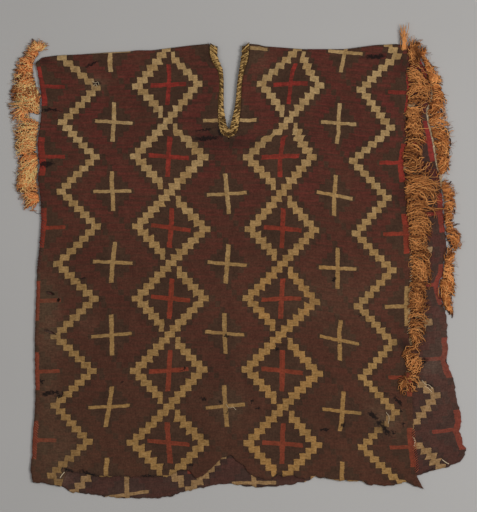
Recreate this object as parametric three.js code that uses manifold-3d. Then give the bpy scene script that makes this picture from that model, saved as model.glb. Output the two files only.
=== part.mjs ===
// A sleeveless tunic of tapestry cloth, folded over at the shoulders and laid flat with its front up.
// Millimetres. x runs across the cloth, y up the cloth towards the shoulder fold, z up from the surface.
// In the tables x = 0 is close to the neck slit and y = 0 about halfway down the cloth. The whole
// group is then moved so that its origin is at the middle of its footprint.

import * as THREE from "three";
import { mergeVertices } from "three/addons/utils/BufferGeometryUtils.js";
import Module from "manifold-3d";

const wasm = await Module();
wasm.setup();

// Driving dimensions
const CLOTH_WALL = 1.6;
const LAYER_GAP = 0.4;
const SEAM_GAP = 0.3;
const FOLD_NOSE = 1.2;
const FOLD_DEPTH = 3.2;
const NOSE_HALF_TIP = 0.2;
const NOSE_ROUNDING = 0.35;
const SHEET_CELL = 22;
const SHEET_HALF_WIDTH = 352;
const SHEET_FOOT = -420;
const ABOVE_FOLD = 440;
const MEAN_FOLD = 370;
const CUT_DEPTH = 60;
const NECK_RISE = 2.8;
const NECK_RISE_SPREAD = 36;
const CORD_SIDES = 8;
const FRONT_CORD_HEIGHT = 4.4;
const BACK_CORD_HEIGHT = 3.2;
const CORD_OVERHANG = 0.9;
const STRIP_HALF_WIDTH = 1.8;
const STRIP_HEIGHT = 2;
const LOCK_PITCH = 6.6;
const LOCK_HALF_WIDTH = 2.3;
const LOCK_LOFT = 4.6;
const LOCK_DROOP = 0.12;
const LOCK_SHORTEST = 8;
const LOCK_MEAN_REACH = 0.96;
const LOCK_REACH_SPREAD = 0.07;
const LOCK_SKEW = 0.9;
const LOCK_MEAN_LOFT = 0.85;
const LOCK_LOFT_SPREAD = 0.15;
const LOCK_CLEAR = 0.3;
const RIP_SIDES = 8;
const CLOTH_ROUGHNESS = 0.9;
const CORD_ROUGHNESS = 0.8;
const FRINGE_ROUGHNESS = 0.95;

const FRONT_UNDERSIDE = CLOTH_WALL + LAYER_GAP;

// Colours seen on the cloth, the neck binding and the fringe
const CLOTH_COLOUR = 0x4a3329;
const BACK_COLOUR = 0x47302a;
const CORD_COLOUR = 0x8a6632;
const FRINGE_COLOUR = 0xb8723c;

// Turns rows of bare values into rows with named columns.
function table(names, ...rows) {
  return rows.map((row) => Object.fromEntries(names.map((name, i) => [name, row[i]])));
}

// The shoulder fold, from the left corner to the right one.
const SHOULDER_FOLD = table(["x", "y"],
  [-352, 331], [-335, 345], [-323, 354.5], [-298, 358], [-252, 360], [-212, 363], [-172, 365],
  [-157, 367], [-131, 367], [-111, 369.5], [-64, 375.5], [-31, 378.5], [-20, 378.5],
  [25, 374.5], [34, 379], [55, 377], [66, 374], [94, 372], [133, 369], [205, 369], [223, 371],
  [245, 374], [259, 376], [296, 378], [324, 375], [336, 366], [352, 350]);

// The left edge, which is open as an armhole above y = 107 and sewn to the back below it.
const LEFT_EDGE = table(["y", "x"],
  [345, -335], [322, -330], [290, -325], [278, -324], [243, -326], [219, -330], [200, -332],
  [184, -330], [168, -328], [140, -331], [107, -326], [66, -325], [24, -328], [-14, -332],
  [-70, -334], [-128, -336], [-187, -336], [-226, -335], [-264, -336], [-308, -340], [-341, -341],
  [-367, -344], [-390, -340]);

// The worn lower edge of the front, which has lost most of its hem.
const FRONT_FOOT = table(["x", "y"],
  [-340, -390], [-322, -390], [-303, -394.5], [-290, -396.5], [-284, -381], [-280, -369],
  [-254, -373], [-233, -377], [-219, -380], [-192, -378], [-166, -380], [-119, -379],
  [-105, -380], [-93, -373], [-84, -367.5], [-66, -367.5], [-56, -381], [-46, -381],
  [-31, -367.5], [-8, -346], [2, -341], [10, -342], [15, -351], [30, -360], [39, -374],
  [52, -380.5], [72, -385], [83, -382], [89, -374.5], [98, -379], [115, -376.5], [137, -384.5],
  [145, -379], [153, -377.5], [163, -381], [196, -386], [238, -387.5], [245, -392.5],
  [258, -394], [291, -395], [314, -388], [327, -395], [344, -400]);

// The right edge of the front, from its torn lower tip up to the fold.
const FRONT_RIGHT_EDGE = table(["y", "x"],
  [-400, 344], [-380, 332], [-340, 329], [-301, 324], [-285, 326], [-210, 323], [-140, 319],
  [-128, 317], [-108, 320], [-80, 319], [-31, 322], [-3, 322], [51, 320], [77, 317], [105, 313],
  [149, 311], [163, 308], [189, 310], [213, 315], [241, 312], [262, 315], [296, 320],
  [315, 318], [332, 317], [353, 322], [372, 329]);

// The right edge of the back, which is spread out past the front.
const BACK_RIGHT_EDGE = table(["y", "x"],
  [-353, 408], [-346, 414], [-331, 419], [-322, 413], [-313, 412], [-299, 406], [-283, 411],
  [-266, 408], [-240, 401], [-212, 398], [-199, 392], [-184, 387], [-172, 384], [-157, 387],
  [-124, 384.5], [-114, 386], [-90, 382], [-65, 374], [-51, 370], [-37, 371], [-23, 378],
  [-5, 379], [18, 385], [47, 382], [77, 378], [101, 378], [131, 374], [149, 372], [166, 366],
  [198, 361], [215, 358], [238, 352], [256, 349], [264, 349], [275, 355], [292, 358],
  [306, 356], [336, 346], [352, 338]);

// The lower edge of the back: what shows below the front, and a plain line where the front hides it.
const BACK_FOOT = table(["x", "y"],
  [-339, -380], [-300, -385], [-290, -396], [-284, -400], [-272, -407], [-245, -409.5],
  [-226, -412.5], [-188, -416.5], [-119, -416.5], [-96, -413.5], [-80, -407], [-48, -400],
  [-23, -394.5], [-4, -391.5], [12, -392.5], [35, -396.5], [59, -398], [92, -395.5],
  [121, -391.5], [144, -386], [160, -374], [300, -374], [333, -379], [339, -375], [356, -370],
  [374, -365], [388, -361.5]);

// The neck binding: its middle line and half width, from the left shoulder round to the right one.
const NECK_BINDING = table(["x", "y", "half"],
  [-22.4, 374, 8.0], [-22.8, 359, 7.0], [-18.6, 346, 6.2], [-11.6, 333, 4.8], [-9.5, 318, 4.0],
  [-9.1, 301, 4.0], [-9.8, 285, 4.6], [-10.2, 271, 5.4], [-9.8, 259, 6.1], [-8.4, 247, 7.0],
  [-6.7, 235, 7.9], [-3.5, 226, 8.2], [3.2, 222, 8.4], [10.0, 226, 8.2], [12.3, 235, 7.7],
  [14.5, 247, 7.0], [16.8, 259, 6.3], [18.6, 271, 5.6], [19.8, 285, 4.9], [20.7, 301, 4.4],
  [22.6, 318, 4.3], [25.4, 333, 4.9], [28.7, 346, 6.2], [31.0, 359, 6.8], [32.2, 374, 7.0]);

// Soft folds of the front: middle, turn of the crest in degrees, reach along and across it, height.
const FRONT_FOLDS = table(["x", "y", "turn", "along", "across", "high"],
  [-60, 214, -8, 70, 22, 3.0], [62, 236, 24, 60, 26, 2.2], [247, 362, -6, 34, 18, 3.6],
  [-236, 336, 28, 60, 24, 2.4], [-282, 262, 8, 55, 24, 2.8], [-130, 300, -30, 80, 30, 1.8],
  [150, 120, 20, 110, 34, 1.6], [-250, 60, -38, 90, 30, 1.8], [-286, -62, -14, 60, 24, 3.2],
  [-270, -132, -24, 70, 26, 2.6], [40, -120, 12, 120, 36, 1.6], [196, -60, -28, 90, 32, 1.8],
  [-120, -210, 16, 100, 34, 1.8], [-20, -318, 34, 70, 24, 3.0], [226, -262, -34, 64, 26, 2.6],
  [258, -330, 40, 60, 24, 2.8], [-240, -330, 10, 80, 26, 2.4], [110, -340, -12, 70, 26, 2.2]);

// Rips wider than 4 mm in the front: middle, length, width and turn in degrees.
const RIPS = table(["x", "y", "long", "wide", "turn"],
  [-309, -58, 15, 4.8, -18], [-295, -70, 6, 4.8, 60], [-310, -126, 21, 4.4, -20],
  [-289, -234, 6, 4.6, 75], [319, -192, 12, 8, 30], [-230, 309, 8, 4.6, 20]);

// Fringes. Each row of a route gives the middle of the backing strip and its height over the floor,
// and each row of a reach gives how far the locks come out.
const LEFT_FRINGE = {
  side: -1,
  top: 376,
  foot: 110,
  endTip: { x: -336, y: 382 },
  bare: [{ from: 246, to: 258 }],
  route: table(["y", "x", "z"],
    [376, -331, 0.4], [360, -330, 0.4], [350, -338, 0.4], [338, -341.5, 0.4], [320, -338, 0.4],
    [304, -335, 0.4], [290, -328, 0.4], [278, -327, 0.4], [243, -329, 0.4], [219, -333, 0.4],
    [200, -335, 0.4], [184, -333, 0.4], [168, -331, 0.4], [140, -334, 0.4], [107, -329, 0.4]),
  reach: table(["y", "x"],
    [376, -342], [369, -346], [352, -356], [345, -363], [332, -371], [313, -375], [290, -372],
    [278, -378], [248, -384], [240, -377], [228, -366], [221, -373], [200, -370], [163, -366],
    [129, -370], [117, -366], [108, -356]),
};

const FRONT_FRINGE = {
  side: 1,
  top: 378,
  foot: -235,
  endTip: { x: 316, y: 418 },
  bare: [{ from: 352, to: 380 }],
  route: table(["y", "x", "z"],
    [378, 333, 2.2], [372, 331.4, 2.2], [353, 324.4, 2.2], [332, 319.4, 2.2], [315, 320.4, 2.2],
    [296, 322.4, 2.2], [262, 317.4, 2.2], [241, 314.4, 2.2], [213, 317.4, 2.2], [189, 312.4, 2.2],
    [163, 310.4, 2.2], [149, 313.4, 2.2], [105, 315.4, 2.2], [77, 319.4, 2.2], [51, 322.4, 2.2],
    [-3, 324.4, 2.2], [-31, 324.4, 2.2], [-80, 321.4, 2.2], [-108, 322.4, 2.2], [-122, 322, 2.8],
    [-136, 324, 5.2], [-148, 332, 5.4], [-156, 326, 5.4], [-164, 313, 5.4], [-174, 309, 5.4],
    [-184, 317, 5.4], [-194, 323, 5.4], [-204, 321, 5.4], [-213, 314, 5.4], [-221, 306, 5.4],
    [-236, 305, 5.4]),
  reach: table(["y", "x"],
    [378, 338], [360, 338], [338, 344], [309, 353], [292, 355], [275, 352], [264, 345],
    [238, 342], [215, 350], [198, 340], [178, 335], [166, 345], [150, 364], [131, 366],
    [112, 346], [90, 352], [77, 356], [45, 357], [33, 351], [10, 357], [0, 346], [-14, 355],
    [-31, 356], [-54, 346], [-87, 350], [-107, 353], [-118, 346], [-133, 345], [-157, 341],
    [-174, 333], [-185, 346], [-203, 337], [-211, 338], [-221, 326], [-236, 320]),
};

const BACK_FRINGE = {
  side: 1,
  top: 352,
  foot: -86,
  endTip: { x: 337, y: 372 },
  bare: [{ from: 136, to: 150 }, { from: 13, to: 27 }],
  route: table(["y", "x", "z"],
    [352, 342.6, 0.4], [336, 348.4, 0.4], [306, 358.4, 0.4], [292, 360.4, 0.4], [275, 357.4, 0.4],
    [264, 351.4, 0.4], [256, 351.4, 0.4], [238, 354.4, 0.4], [215, 360.4, 0.4], [198, 363.4, 0.4],
    [166, 368.4, 0.4], [149, 374.4, 0.4], [131, 376.4, 0.4], [101, 380.4, 0.4], [77, 380.4, 0.4],
    [47, 384.4, 0.4], [18, 387.4, 0.4], [-5, 381.4, 0.4], [-23, 380.4, 0.4], [-37, 373.4, 0.4],
    [-51, 372.4, 0.4], [-65, 376.4, 0.4], [-90, 384.4, 0.4]),
  reach: table(["y", "x"],
    [352, 357], [338, 366], [309, 377], [284, 385], [247, 385], [212, 396], [189, 394],
    [165, 394], [149, 384], [133, 386], [118, 402], [90, 402], [80, 395], [63, 398], [56, 395],
    [48, 410], [36, 412], [27, 402], [12, 397], [-3, 402], [-16, 394], [-31, 403], [-54, 398],
    [-62, 394], [-83, 398], [-90, 396]),
};

// A lock's sections from root to tip: place along it, half width, clearance, loft and sideways sway.
const LOCK_SECTIONS = table(["along", "half", "foot", "loft", "sway"],
  [0.34, LOCK_HALF_WIDTH, LOCK_CLEAR, LOCK_LOFT, 0.5],
  [0.7, 2, 0.2, LOCK_LOFT * 0.9, 0.4],
  [1, 0.9, LOCK_CLEAR, 2, 0]);

// The sections of the lock at a strip's upper end.
const END_LOCK_SECTIONS = table(["along", "half", "loft"], [0.5, 2.4, 4], [1, 1, 2]);

// The kinds of variation of a lock.
const VARIED = { skew: 3, sway: 5, loft: 7 };

// Straight-line reading of one column of a table; past the table's ends its end rows hold.
function read(rows, key, at, column) {
  const sorted = [...rows].sort((a, b) => a[key] - b[key]);
  if (at <= sorted[0][key]) return sorted[0][column];
  for (let i = 1; i < sorted.length; i++) {
    const low = sorted[i - 1];
    const high = sorted[i];
    if (at > high[key]) continue;
    const share = (at - low[key]) / (high[key] - low[key]);
    return low[column] + share * (high[column] - low[column]);
  }
  return sorted.at(-1)[column];
}

// A repeatable value from -1 to 1 for the place and kind of a variation.
function vary(place, kind) {
  const wave = Math.sin(place * 12.9898 + kind * 78.233) * 43758.5453;
  return 2 * (wave - Math.floor(wave)) - 1;
}

// A closed surface gathered corner by corner and quad by quad.
class Surface {
  constructor() {
    this.points = [];
    this.faces = [];
  }
  corner(x, y, z) {
    this.points.push(x, y, z);
    return this.points.length / 3 - 1;
  }
  quad(a, b, c, d) {
    this.faces.push(a, b, c, a, c, d);
  }
  // Walls between two rings that run the same way round; the rings' order faces along the travel.
  wall(ring, next, open = -1) {
    ring.forEach((corner, i) => {
      const j = (i + 1) % ring.length;
      if (i !== open) this.quad(corner, ring[j], next[j], next[i]);
    });
  }
  cap(ring) {
    for (let i = 1; i < ring.length - 1; i++) this.faces.push(ring[0], ring[i], ring[i + 1]);
  }
  geometry(mirrored = false) {
    const faces = mirrored ? [...this.faces].reverse() : this.faces;
    const made = new THREE.BufferGeometry();
    made.setAttribute("position", new THREE.Float32BufferAttribute(this.points, 3));
    made.setIndex(faces);
    return made;
  }
}

function solidOf(geometry) {
  const bare = geometry.clone();
  bare.deleteAttribute("normal");
  bare.deleteAttribute("uv");
  const merged = mergeVertices(bare, 1e-4);
  return new wasm.Manifold(new wasm.Mesh({
    numProp: 3,
    vertProperties: new Float32Array(merged.attributes.position.array),
    triVerts: new Uint32Array(merged.index.array),
  }));
}

function geometryOf(solid) {
  const mesh = solid.getMesh();
  const made = new THREE.BufferGeometry();
  const points = [];
  for (let i = 0; i < mesh.vertProperties.length; i += mesh.numProp)
    points.push(...mesh.vertProperties.subarray(i, i + 3));
  made.setAttribute("position", new THREE.Float32BufferAttribute(points, 3));
  made.setIndex([...mesh.triVerts]);
  return made;
}

// An upright prism over an outline, used to trim and to cut the cloth.
function prism(outline, from = -CUT_DEPTH / 2, height = CUT_DEPTH) {
  const shape = new THREE.Shape(outline.map(({ x, y }) => new THREE.Vector2(x, y)));
  const made = new THREE.ExtrudeGeometry(shape, { depth: height, bevelEnabled: false });
  return made.translate(0, 0, from);
}

// How far the front stands above its lowest place at a point: soft folds, and a rise over the
// doubled neck binding.
function relief(x, y) {
  const slitTop = new THREE.Vector3(4, 380, 0);
  const slitFoot = new THREE.Vector3(3, 232, 0);
  const slit = new THREE.Line3(slitFoot, slitTop);
  const place = new THREE.Vector3(x, y, 0);
  const nearest = slit.closestPointToPoint(place, true, new THREE.Vector3());
  let high = NECK_RISE * Math.exp(-((place.distanceTo(nearest) / NECK_RISE_SPREAD) ** 2));
  for (const fold of FRONT_FOLDS) {
    const turn = THREE.MathUtils.degToRad(fold.turn);
    const dx = x - fold.x;
    const dy = y - fold.y;
    const along = (dx * Math.cos(turn) + dy * Math.sin(turn)) / fold.along;
    const across = (dy * Math.cos(turn) - dx * Math.sin(turn)) / fold.across;
    high += fold.high * Math.exp(-(along ** 2) - across ** 2);
  }
  return high * edgeCalm(x, y);
}

// Folds die out at the sewn side and at the fringed side, over the last stretch of cloth.
function edgeCalm(x, y) {
  const stretch = 26;
  const left = (x - read(LEFT_EDGE, "y", y, "x")) / stretch;
  const right = (read(FRONT_RIGHT_EDGE, "y", y, "x") - x) / stretch;
  return THREE.MathUtils.smoothstep(Math.min(left, right), 0, 1);
}

// Where the cloth's columns stand; the shoulder fold turns at each of them.
function sheetColumns() {
  const steps = Math.round((2 * SHEET_HALF_WIDTH) / SHEET_CELL);
  const columns = [];
  for (let i = 0; i <= steps; i++)
    columns.push(-SHEET_HALF_WIDTH + (2 * SHEET_HALF_WIDTH * i) / steps);
  return columns;
}

// The front cloth before it is trimmed: a wall with folds, and along the shoulder a rounded nose
// that turns down to the surface in front of the back's upper edge.
function frontSheet() {
  const surface = new Surface();
  const columns = sheetColumns();
  const flat = { top: (crest) => crest, foot: (crest) => crest - CLOTH_WALL };
  const nose = [
    { down: 0, top: (crest) => crest / 2 + NOSE_HALF_TIP, foot: (crest) => crest / 2 - NOSE_HALF_TIP },
    { down: FOLD_NOSE, top: (crest) => crest - NOSE_ROUNDING, foot: () => NOSE_ROUNDING },
    { down: FOLD_DEPTH, top: (crest) => crest, foot: () => 0 },
    { down: FOLD_DEPTH + SEAM_GAP, ...flat },
  ];
  const flatRows = Math.round((MEAN_FOLD - SHEET_FOOT) / SHEET_CELL);
  const topRows = [];
  const footRows = [];
  for (let row = 0; row < nose.length + flatRows; row++) {
    const topRow = [];
    const footRow = [];
    for (const x of columns) {
      const fold = read(SHOULDER_FOLD, "x", x, "y");
      const start = fold - FOLD_DEPTH - SEAM_GAP;
      const step = row - nose.length + 1;
      const y = row < nose.length
        ? fold - nose[row].down
        : start + ((SHEET_FOOT - start) * step) / flatRows;
      const crest = FRONT_UNDERSIDE + relief(x, y) + CLOTH_WALL;
      const { top, foot } = nose[row] ?? flat;
      topRow.push(surface.corner(x, y, top(crest)));
      footRow.push(surface.corner(x, y, foot(crest)));
    }
    topRows.push(topRow);
    footRows.push(footRow);
  }
  const lastRow = topRows.length - 1;
  const lastColumn = columns.length - 1;
  for (let row = 0; row < lastRow; row++) {
    const [top, nextTop] = [topRows[row], topRows[row + 1]];
    const [foot, nextFoot] = [footRows[row], footRows[row + 1]];
    for (let i = 0; i < lastColumn; i++) {
      surface.quad(top[i], nextTop[i], nextTop[i + 1], top[i + 1]);
      surface.quad(foot[i], foot[i + 1], nextFoot[i + 1], nextFoot[i]);
    }
    surface.quad(top[0], foot[0], nextFoot[0], nextTop[0]);
    surface.quad(top[lastColumn], nextTop[lastColumn], nextFoot[lastColumn], foot[lastColumn]);
  }
  const [upperTop, upperFoot] = [topRows[0], footRows[0]];
  const [lowerTop, lowerFoot] = [topRows[lastRow], footRows[lastRow]];
  for (let i = 0; i < lastColumn; i++) {
    surface.quad(upperTop[i], upperTop[i + 1], upperFoot[i + 1], upperFoot[i]);
    surface.quad(lowerTop[i], lowerFoot[i], lowerFoot[i + 1], lowerTop[i + 1]);
  }
  return surface.geometry();
}

// The neck binding's stations with the direction that points from the slit into the cloth.
function bindingStations() {
  return NECK_BINDING.map((station, i) => {
    const before = NECK_BINDING[Math.max(i - 1, 0)];
    const after = NECK_BINDING[Math.min(i + 1, NECK_BINDING.length - 1)];
    const travel = new THREE.Vector2(after.x - before.x, after.y - before.y).normalize();
    return { ...station, intoX: travel.y, intoY: -travel.x };
  });
}

// The cloth is cut back to the outer side of the binding, with the seam's gap.
function neckCut() {
  const edge = bindingStations().map(({ x, y, half, intoX, intoY }) => ({
    x: x + intoX * (half + SEAM_GAP),
    y: y + intoY * (half + SEAM_GAP),
  }));
  const first = edge[0];
  const last = edge.at(-1);
  return [{ x: first.x, y: ABOVE_FOLD }, ...edge, { x: last.x, y: ABOVE_FOLD }];
}

// A flattened cord round the neck slit. underside(x, y) gives the height that it lies at.
function neckCord(height, underside) {
  const surface = new Surface();
  const stations = bindingStations();
  const rings = stations.map(({ x, y, half, intoX, intoY }) => {
    const low = underside(x, y);
    return Array.from({ length: CORD_SIDES }, (_, side) => {
      const angle = (-2 * Math.PI * (side + 0.5)) / CORD_SIDES;
      const spread = (half * Math.cos(angle)) / Math.cos(Math.PI / CORD_SIDES);
      const rise = (height / 2) * (1 + Math.sin(angle) / Math.cos(Math.PI / CORD_SIDES));
      return surface.corner(x + intoX * spread, y + intoY * spread, low + rise);
    });
  });
  for (let i = 1; i < rings.length; i++) surface.wall(rings[i - 1], rings[i]);
  surface.cap([...rings[0]].reverse());
  surface.cap(rings.at(-1));
  return surface.geometry();
}

function frontOutline() {
  const left = [{ x: LEFT_EDGE[0].x, y: ABOVE_FOLD }, ...LEFT_EDGE];
  const right = [...FRONT_RIGHT_EDGE, { x: FRONT_RIGHT_EDGE.at(-1).x, y: ABOVE_FOLD }];
  return [...left, ...FRONT_FOOT.slice(1), ...right.slice(1)];
}

function backOutline() {
  const inset = 1;
  const left = LEFT_EDGE.slice(1, -1).map(({ x, y }) => ({ x: x + inset, y: y - inset }));
  const under = FOLD_DEPTH + 2 * SEAM_GAP;
  const fold = sheetColumns()
    .filter((x) => x > LEFT_EDGE[0].x && x < BACK_RIGHT_EDGE.at(-1).x)
    .map((x) => ({ x, y: read(SHOULDER_FOLD, "x", x, "y") - under }))
    .reverse();
  return [...left, ...BACK_FOOT, ...BACK_RIGHT_EDGE, ...fold];
}

function ripOutline({ x, y, long, wide, turn }) {
  const ellipse = new THREE.EllipseCurve(x, y, long / 2, wide / 2, 0, 2 * Math.PI, false,
    THREE.MathUtils.degToRad(turn));
  return ellipse.getPoints(RIP_SIDES).slice(0, -1);
}

function frontCloth() {
  let cloth = solidOf(frontSheet()).intersect(solidOf(prism(frontOutline())));
  cloth = cloth.subtract(solidOf(prism(neckCut())));
  for (const rip of RIPS) cloth = cloth.subtract(solidOf(prism(ripOutline(rip))));
  return geometryOf(cloth);
}

function backCloth() {
  const cloth = solidOf(prism(backOutline(), 0, CLOTH_WALL));
  return geometryOf(cloth.subtract(solidOf(prism(neckCut()))));
}

// A fringe: one narrow backing strip, and locks of four sides that come out of its outer face.
// The strip and its locks are placed by y, so that no lock crosses its neighbour.
function fringe({ side, top, foot, endTip, bare, route, reach }) {
  const surface = new Surface();
  const section = (y) => {
    const x = read(route, "y", y, "x");
    const low = read(route, "y", y, "z");
    const high = low + STRIP_HEIGHT;
    const inner = x - side * STRIP_HALF_WIDTH;
    const outer = x + side * STRIP_HALF_WIDTH;
    return [
      surface.corner(inner, y, low),
      surface.corner(outer, y, low),
      surface.corner(outer, y, high),
      surface.corner(inner, y, high),
    ];
  };
  const count = Math.floor((top - foot) / LOCK_PITCH);
  const outerWall = 1;
  const start = section(top);
  let last = start;
  for (let i = 0; i < count; i++) {
    const middle = top - (i + 0.5) * LOCK_PITCH;
    const upper = section(middle + LOCK_HALF_WIDTH);
    const lower = section(middle - LOCK_HALF_WIDTH);
    const isBare = bare.some(({ from, to }) => middle > from && middle < to);
    surface.wall(last, upper);
    surface.wall(upper, lower, isBare ? -1 : outerWall);
    if (!isBare) lock(surface, [upper[1], upper[2], lower[2], lower[1]], middle, i, side, route, reach);
    last = lower;
  }
  const end = section(top - count * LOCK_PITCH);
  surface.wall(last, end);
  surface.cap(end);
  endLock(surface, [...start].reverse(), top, endTip, route);
  return surface.geometry(side < 0);
}

// One lock: three tapering lengths that loft above the backing strip and sink again at the tip.
function lock(surface, root, middle, index, side, route, reach) {
  const low = read(route, "y", middle, "z");
  const startX = read(route, "y", middle, "x") + side * STRIP_HALF_WIDTH;
  const full = side * (read(reach, "y", middle, "x") - startX);
  const length = Math.max(LOCK_SHORTEST, full * (LOCK_MEAN_REACH + LOCK_REACH_SPREAD * vary(index, side)));
  const lift = -LOCK_DROOP * length + LOCK_SKEW * vary(index, VARIED.skew);
  let ring = root;
  for (const { along, half, foot, loft, sway } of LOCK_SECTIONS) {
    const x = startX + side * length * along;
    const y = middle + lift * along + sway * vary(index, VARIED.sway);
    const high = low + foot + loft * (LOCK_MEAN_LOFT + LOCK_LOFT_SPREAD * vary(index, VARIED.loft));
    const next = [
      surface.corner(x, y + half, low + foot),
      surface.corner(x, y + half, high),
      surface.corner(x, y - half, high),
      surface.corner(x, y - half, low + foot),
    ];
    surface.wall(ring, next);
    ring = next;
  }
  surface.cap(ring);
}

// The lock at the strip's upper end, which points up past the shoulder.
function endLock(surface, root, top, tip, route) {
  const low = read(route, "y", top, "z");
  const startX = read(route, "y", top, "x");
  let ring = root;
  for (const { along, half, loft } of END_LOCK_SECTIONS) {
    const x = startX + (tip.x - startX) * along;
    const y = top + (tip.y - top) * along;
    const inner = x - Math.sign(startX) * half;
    const outer = x + Math.sign(startX) * half;
    const next = [
      surface.corner(inner, y, low + loft),
      surface.corner(outer, y, low + loft),
      surface.corner(outer, y, low + LOCK_CLEAR),
      surface.corner(inner, y, low + LOCK_CLEAR),
    ];
    surface.wall(ring, next);
    ring = next;
  }
  surface.cap(ring);
}

function piece(name, geometry, colour, roughness) {
  const material = new THREE.MeshStandardMaterial({ color: colour, roughness, metalness: 0 });
  geometry.computeVertexNormals();
  const mesh = new THREE.Mesh(geometry, material);
  mesh.name = name;
  return mesh;
}

// The front's cord rests on the back's cord, and grips the front's cut edge.
const backCordTop = BACK_CORD_HEIGHT + SEAM_GAP;
const frontCordUnderside = (x, y) =>
  Math.max(FRONT_UNDERSIDE + relief(x, y) - CORD_OVERHANG, backCordTop + SEAM_GAP);

const garment = new THREE.Group();
garment.add(
  piece("front_panel", frontCloth(), CLOTH_COLOUR, CLOTH_ROUGHNESS),
  piece("back_panel", backCloth(), BACK_COLOUR, CLOTH_ROUGHNESS),
  piece("neck_binding_front", neckCord(FRONT_CORD_HEIGHT, frontCordUnderside), CORD_COLOUR, CORD_ROUGHNESS),
  piece("neck_binding_back", neckCord(BACK_CORD_HEIGHT, () => 0), CORD_COLOUR, CORD_ROUGHNESS),
  piece("fringe_left", fringe(LEFT_FRINGE), FRINGE_COLOUR, FRINGE_ROUGHNESS),
  piece("fringe_right_front", fringe(FRONT_FRINGE), FRINGE_COLOUR, FRINGE_ROUGHNESS),
  piece("fringe_right_back", fringe(BACK_FRINGE), FRINGE_COLOUR, FRINGE_ROUGHNESS),
);

// The origin is on the surface, at the middle of the footprint.
const bounds = new THREE.Box3().setFromObject(garment);
const middle = bounds.getCenter(new THREE.Vector3());
garment.position.set(-middle.x, -middle.y, -bounds.min.z);

const group = new THREE.Group();
group.add(garment);

export default group;
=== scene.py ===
"""The looks of a tapestry tunic that lies flat on a pale floor, seen from straight above.

Tables are in millimetres in the garment's own places, or in pixels of the 477 by 512 picture where a
heading says so. Everything is turned into the row frame, in metres, by to_row().
"""

import functools
import math

import bpy
import numpy as np
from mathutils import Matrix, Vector


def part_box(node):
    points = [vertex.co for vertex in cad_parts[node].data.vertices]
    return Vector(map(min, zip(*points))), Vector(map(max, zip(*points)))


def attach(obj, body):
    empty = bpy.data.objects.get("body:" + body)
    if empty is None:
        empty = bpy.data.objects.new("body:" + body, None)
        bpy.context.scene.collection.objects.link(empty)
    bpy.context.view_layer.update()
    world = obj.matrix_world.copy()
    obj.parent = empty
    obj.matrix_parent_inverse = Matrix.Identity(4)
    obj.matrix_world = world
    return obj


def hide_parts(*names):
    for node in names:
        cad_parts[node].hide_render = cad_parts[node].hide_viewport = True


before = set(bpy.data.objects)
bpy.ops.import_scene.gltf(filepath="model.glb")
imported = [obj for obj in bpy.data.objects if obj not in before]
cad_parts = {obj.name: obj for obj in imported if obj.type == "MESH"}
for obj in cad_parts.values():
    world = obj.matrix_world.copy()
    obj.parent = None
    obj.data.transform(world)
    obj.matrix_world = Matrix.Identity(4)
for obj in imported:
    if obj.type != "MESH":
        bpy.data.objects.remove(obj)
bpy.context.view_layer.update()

MM = 0.001
PIXEL = 1.75
PICTURE_MIDDLE = (238.5, 256.0)
GARMENT_PIXEL = (227.0, 260.0)
PICTURE_HEIGHT = 512 * PIXEL * MM

# The cloth's sizes, as in the solids.
CLOTH_WALL = 1.6
FRONT_UNDERSIDE = 2.0
SEAM_GAP = 0.3
FOLD_DEPTH = 3.2
NECK_RISE = 2.8
NECK_RISE_SPREAD = 36
NECK_RISE_FOOT = np.array([3.0, 232.0])
NECK_RISE_TOP = np.array([4.0, 380.0])
EDGE_CALM = 26
FRONT_LEFT_END = -344.0
BACK_FOOT_END = -416.5

SHIFT_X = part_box("front_panel")[0].x / MM - FRONT_LEFT_END
SHIFT_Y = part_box("back_panel")[0].y / MM - BACK_FOOT_END


def to_row(points):
    """Garment millimetres to the row frame's metres."""
    return (np.array(points, float) + (SHIFT_X, SHIFT_Y, 0)) * MM


def from_picture(x, y):
    """A pixel of the picture as garment millimetres."""
    return (np.asarray(x) - GARMENT_PIXEL[0]) * PIXEL, (GARMENT_PIXEL[1] - np.asarray(y)) * PIXEL


def table(names, rows):
    """Rows with named columns, as one array for each name."""
    return {name: np.array([row[i] for row in rows], float) for i, name in enumerate(names)}


def picture_table(names, rows):
    """A table with its places and reaches in pixels of the picture, turned into garment millimetres."""
    made = table(names, rows)
    made["x"], made["y"] = from_picture(made["x"], made["y"])
    for name in {"along", "across"} & set(names):
        made[name] *= PIXEL
    return made


def x_at(line, y):
    """Where a table's line is at a height, straight between its rows."""
    order = np.argsort(line["y"], kind="stable")
    return np.interp(y, line["y"][order], line["x"][order])


def y_at(line, x):
    return x_at({"x": line["y"], "y": line["x"]}, x)


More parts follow.
